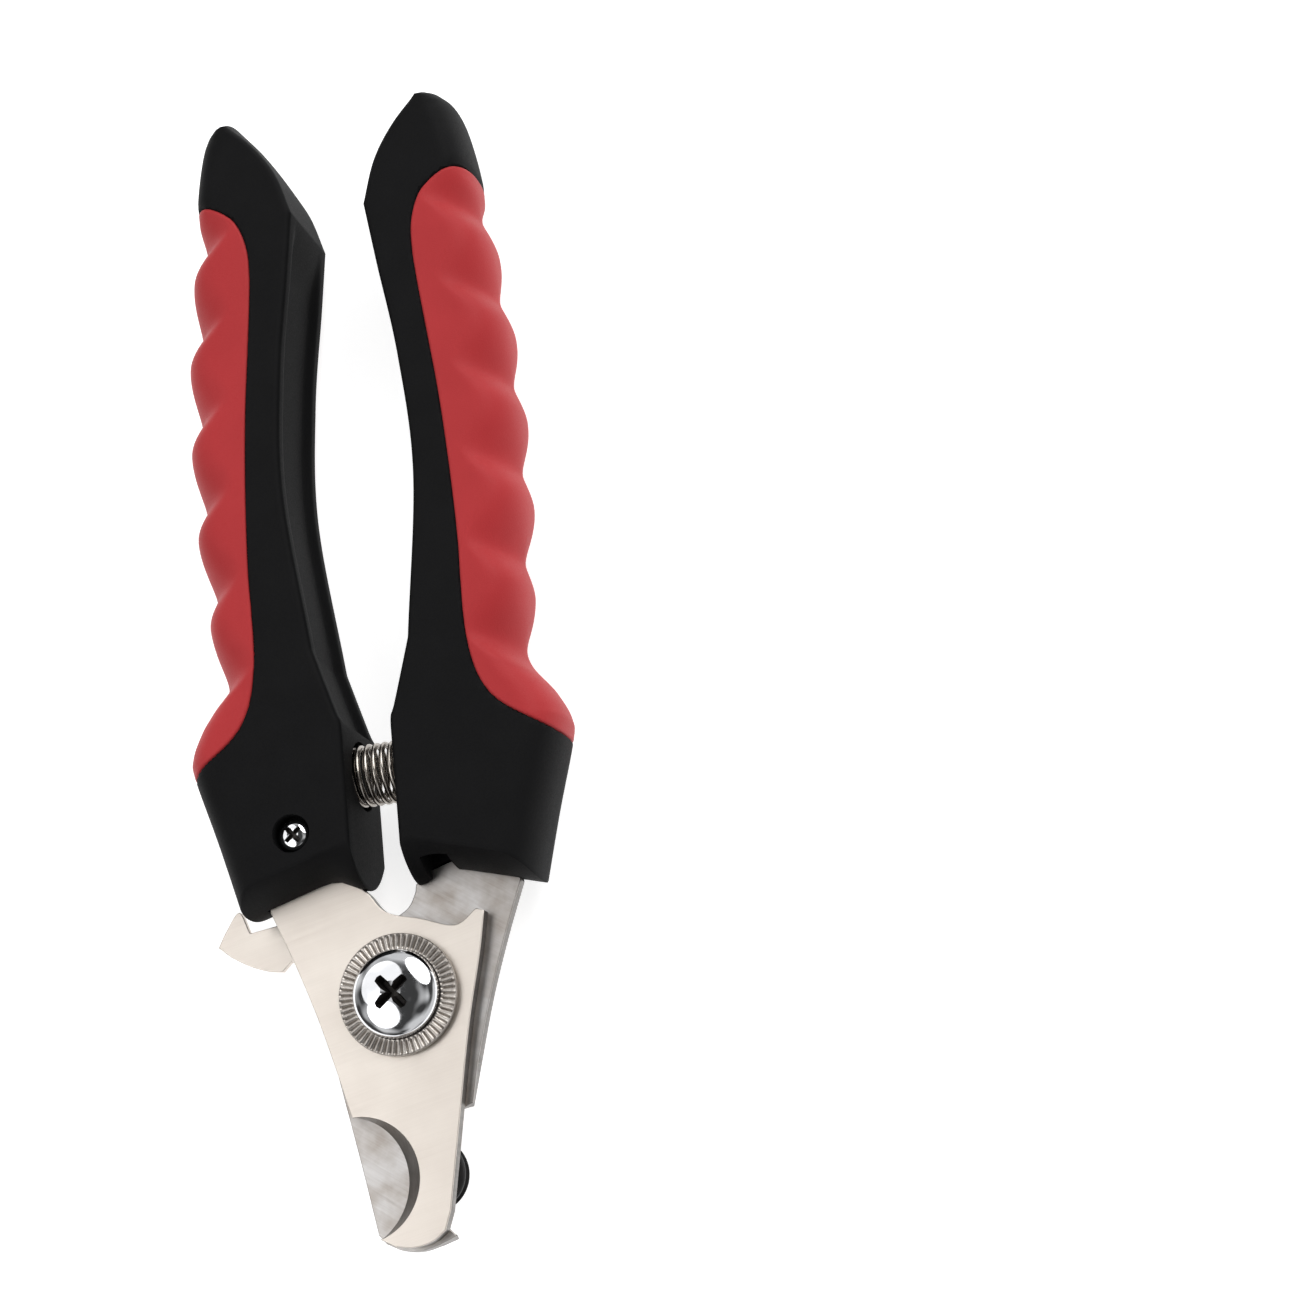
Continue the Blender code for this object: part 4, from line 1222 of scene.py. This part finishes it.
    def build(self, tang: np.ndarray, low: float, high: float) -> None:
        """Makes the handle round its blade's tang.

        Args:
            tang: The outline of the blade's upper part.
            low: Height of the blade's lower face.
            high: Height of its upper face.
        """
        word, body = self.side.word, self.side.body
        moulding = self.moulding()
        self.carved(moulding, grown(tang, GAP), low, high)
        finished(moulding, ABS, body, f"{word}_handle_body")
        finished(self.grip(), TPR, body, f"{word}_grip")
        finished(self.screw(), CHROME, body, f"{word}_handle_screw")


# ---------------------------------------------------------------- spring and catch
@dataclass
class Spring:
    """The compression spring between the handles, along X."""

    at: tuple[float, float] = (30.5, 0.85)
    radius: float = 3.9
    wire: float = 0.4
    pitch: float = 1.15
    half: float = 7.6

    def build(self) -> None:
        """Sweeps the wire along its helix.

        The helix is (pitch * turns, R cos t, R sin t), and the wire's ring adds r cos w along
        the radius and r sin w along X.
        """
        turns = 2 * self.half / self.pitch
        share = np.linspace(0, 1, int(turns * 48))[:, None]
        t = 2 * np.pi * turns * share
        w = np.linspace(0, 2 * np.pi, 14, endpoint=False)[None, :]
        r = self.radius + self.wire * np.cos(w)
        x = self.half * (2 * share - 1) + self.wire * np.sin(w)
        y, z = self.at
        rings = np.stack(np.broadcast_arrays(x, y + r * np.cos(t), z + r * np.sin(t)), -1)
        spring = stacked("coil_spring", list(rings), crease=60)
        spring.data.materials.append(WIRE.material())
        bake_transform(spring)
        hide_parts("return_spring")
        log.info("coil_spring: %d points", len(spring.data.vertices))


@dataclass
class Catch:
    """The lock catch on the back, its rivet and the stud that it hooks."""

    at: tuple[float, float] = (8.5, 29.0)
    reach: float = 14.5
    wide: float = 5.0
    thick: float = 0.8
    parked: float = 95.0
    high: float = -6.6
    back: float = -8.0

    def outline(self) -> np.ndarray:
        """The catch's outline about its rivet, turned to where it is parked."""
        half, slot, deep = self.wide / 2, 1.5, 1.3
        round_end = arc((0, 0), half + 0.4, 90, 270, 24)
        low, high = self.reach - slot, self.reach + slot
        hook = [(low, -half), (low, deep), (high, deep), (high, -half)]
        nose = arc((self.reach + 1.8, 0), half, -60, 90, 16)
        flat = np.vstack([round_end, hook, [(self.reach + 2.6, -half)], nose])
        turn = math.radians(self.parked)
        (x, y), cos, sin = flat.T, math.cos(turn), math.sin(turn)
        turned = np.stack([x * cos + y * sin, x * sin - y * cos], -1)
        return (turned + self.at)[::-1]

    def build(self) -> None:
        """Makes the catch, its rivet and its stud."""
        outline = self.outline()
        low = self.high - self.thick
        made = plate("catch_plate", outline, outline, low, self.high, 0.1)
        carve(made, bar(self.at, 1.5, low - 1, self.high + 1))
        finished(made, ZINC, "catch", "lock_catch")
        pins = (
            ("catch_rivet_head", 0.0, 2.2, 1.2, -4.6, "right_side", "catch_rivet"),
            ("catch_stud_head", self.reach, 1.8, 1.0, -4.4, "left_side", "catch_stud"),
        )
        for name, away, head, shank, end, body, node in pins:
            under, centre = low - GAP, (self.at[0] - away, self.at[1])
            profile = softened(
                [(0, self.back), (head, self.back), (head, under), (shank, under), (shank, end), (0, end)],
                0.15,
                closed=False,
            )
            finished(lathed(name, profile, centre, 64), CHROME, body, node)


# ---------------------------------------------------------------- studio
@dataclass
class Studio:
    """The floor, the lights and the camera."""

    azimuth: float = 32.92
    elevation: float = 70.62
    roll: float = -40.58
    stand: tuple[float, float, float] = (0.10163, -0.056397, 0.340716)
    lens: float = 72.545

    def build(self) -> None:
        """Sets all three up."""
        self.floor()
        self.lights()
        self.camera()

    def floor(self) -> None:
        """A plain pale floor under the clipper: a white sheet with some light coming through it."""
        size, under = 3000.0, -SHEAR_Z / MM - 0.4
        corners = np.array([(-size, -size), (size, -size), (size, size), (-size, size)])
        floor = put_mesh("floor", at_height(corners, under), [[0, 1, 2, 3]])
        look = bpy.data.materials.new("pale_card")
        look.use_nodes = True
        shader = look.node_tree.nodes["Principled BSDF"]
        shader.inputs["Base Color"].default_value = linear("#CFCFCF")
        shader.inputs["Roughness"].default_value = 0.9
        shader.inputs["Emission Color"].default_value = (1, 1, 1, 1)
        shader.inputs["Emission Strength"].default_value = 0.78
        floor.data.materials.append(look)

    def lights(self) -> None:
        """A broad soft box over the handle ends, two more on the left, and a sky of soft patches."""
        world = bpy.data.worlds.new("studio")
        world.use_nodes = True
        tree = world.node_tree
        sky = tree.nodes["Background"]
        aim = add(tree, "ShaderNodeTexCoord").outputs["Generated"]
        patches = add(tree, "ShaderNodeTexNoise", {"Vector": aim, "Scale": 1.6, "Detail": 1.0})
        cloud, dim, bright = patches.outputs["Fac"], 0.05, 0.7
        level = add(tree, "ShaderNodeMapRange", {0: cloud, 1: 0.4, 2: 0.6, 3: dim, 4: bright})
        tree.links.new(level.outputs[0], sky.inputs["Strength"])
        sky.inputs["Color"].default_value = (1, 1, 1, 1)
        bpy.context.scene.world = world
        bpy.context.scene.view_settings.view_transform = "Standard"
        boxes = (
            ("key", (0.47, 0.64, 0.64), 0.95, 7.0),
            ("fill", (-0.5, -0.3, 0.8), 0.8, 2.6),
            ("side", (-0.5, 0.38, 0.8), 1.0, 2.7),
        )
        for name, place, size, power in boxes:
            lamp = bpy.data.lights.new(name, "AREA")
            lamp.shape, lamp.size, lamp.energy = "DISK", size, power
            obj = bpy.data.objects.new(name, lamp)
            obj.location = place
            beam = Vector((0.0, 0.045, 0.01)) - Vector(place)
            obj.rotation_euler = beam.to_track_quat("-Z", "Y").to_euler()
            bpy.context.scene.collection.objects.link(obj)

    def camera(self) -> None:
        """Looks along the given azimuth and elevation, rolled about the view line."""
        a, e, r = (math.radians(v) for v in (self.azimuth, self.elevation, self.roll))
        back = Vector((math.sin(a) * math.cos(e), -math.cos(a) * math.cos(e), math.sin(e)))
        level = Vector((math.cos(a), math.sin(a), 0))
        up = back.cross(level)
        right = level * math.cos(r) + up * math.sin(r)
        turn = Matrix((right, back.cross(right), back)).transposed()
        data = bpy.data.cameras.new("camera")
        data.lens, data.sensor_width = self.lens, 36.0
        camera = bpy.data.objects.new("camera", data)
        camera.matrix_world = Matrix.Translation(self.stand) @ turn.to_4x4()
        bpy.context.scene.collection.objects.link(camera)
        bpy.context.scene.camera = camera


def main() -> None:
    """Builds every sub-assembly and the studio."""
    logging.basicConfig(level=logging.INFO, format="%(name)s: %(message)s")
    blades = Blades()
    blades.build()
    Pivot().build()
    StopPlate().build()
    facing, outer, tang_y = blades.clear, blades.clear + blades.thick, 6
    front, rear = blades.front_outline(True), blades.rear_outline(True)
    Handle(Side.LEFT, mid=1.7).build(front[front[:, 1] > tang_y], facing, outer)
    Handle(Side.RIGHT, mid=0.0).build(rear[rear[:, 1] > tang_y], -outer, -facing)
    Spring().build()
    Catch().build()
    Studio().build()


if __name__ == "__main__":
    main()
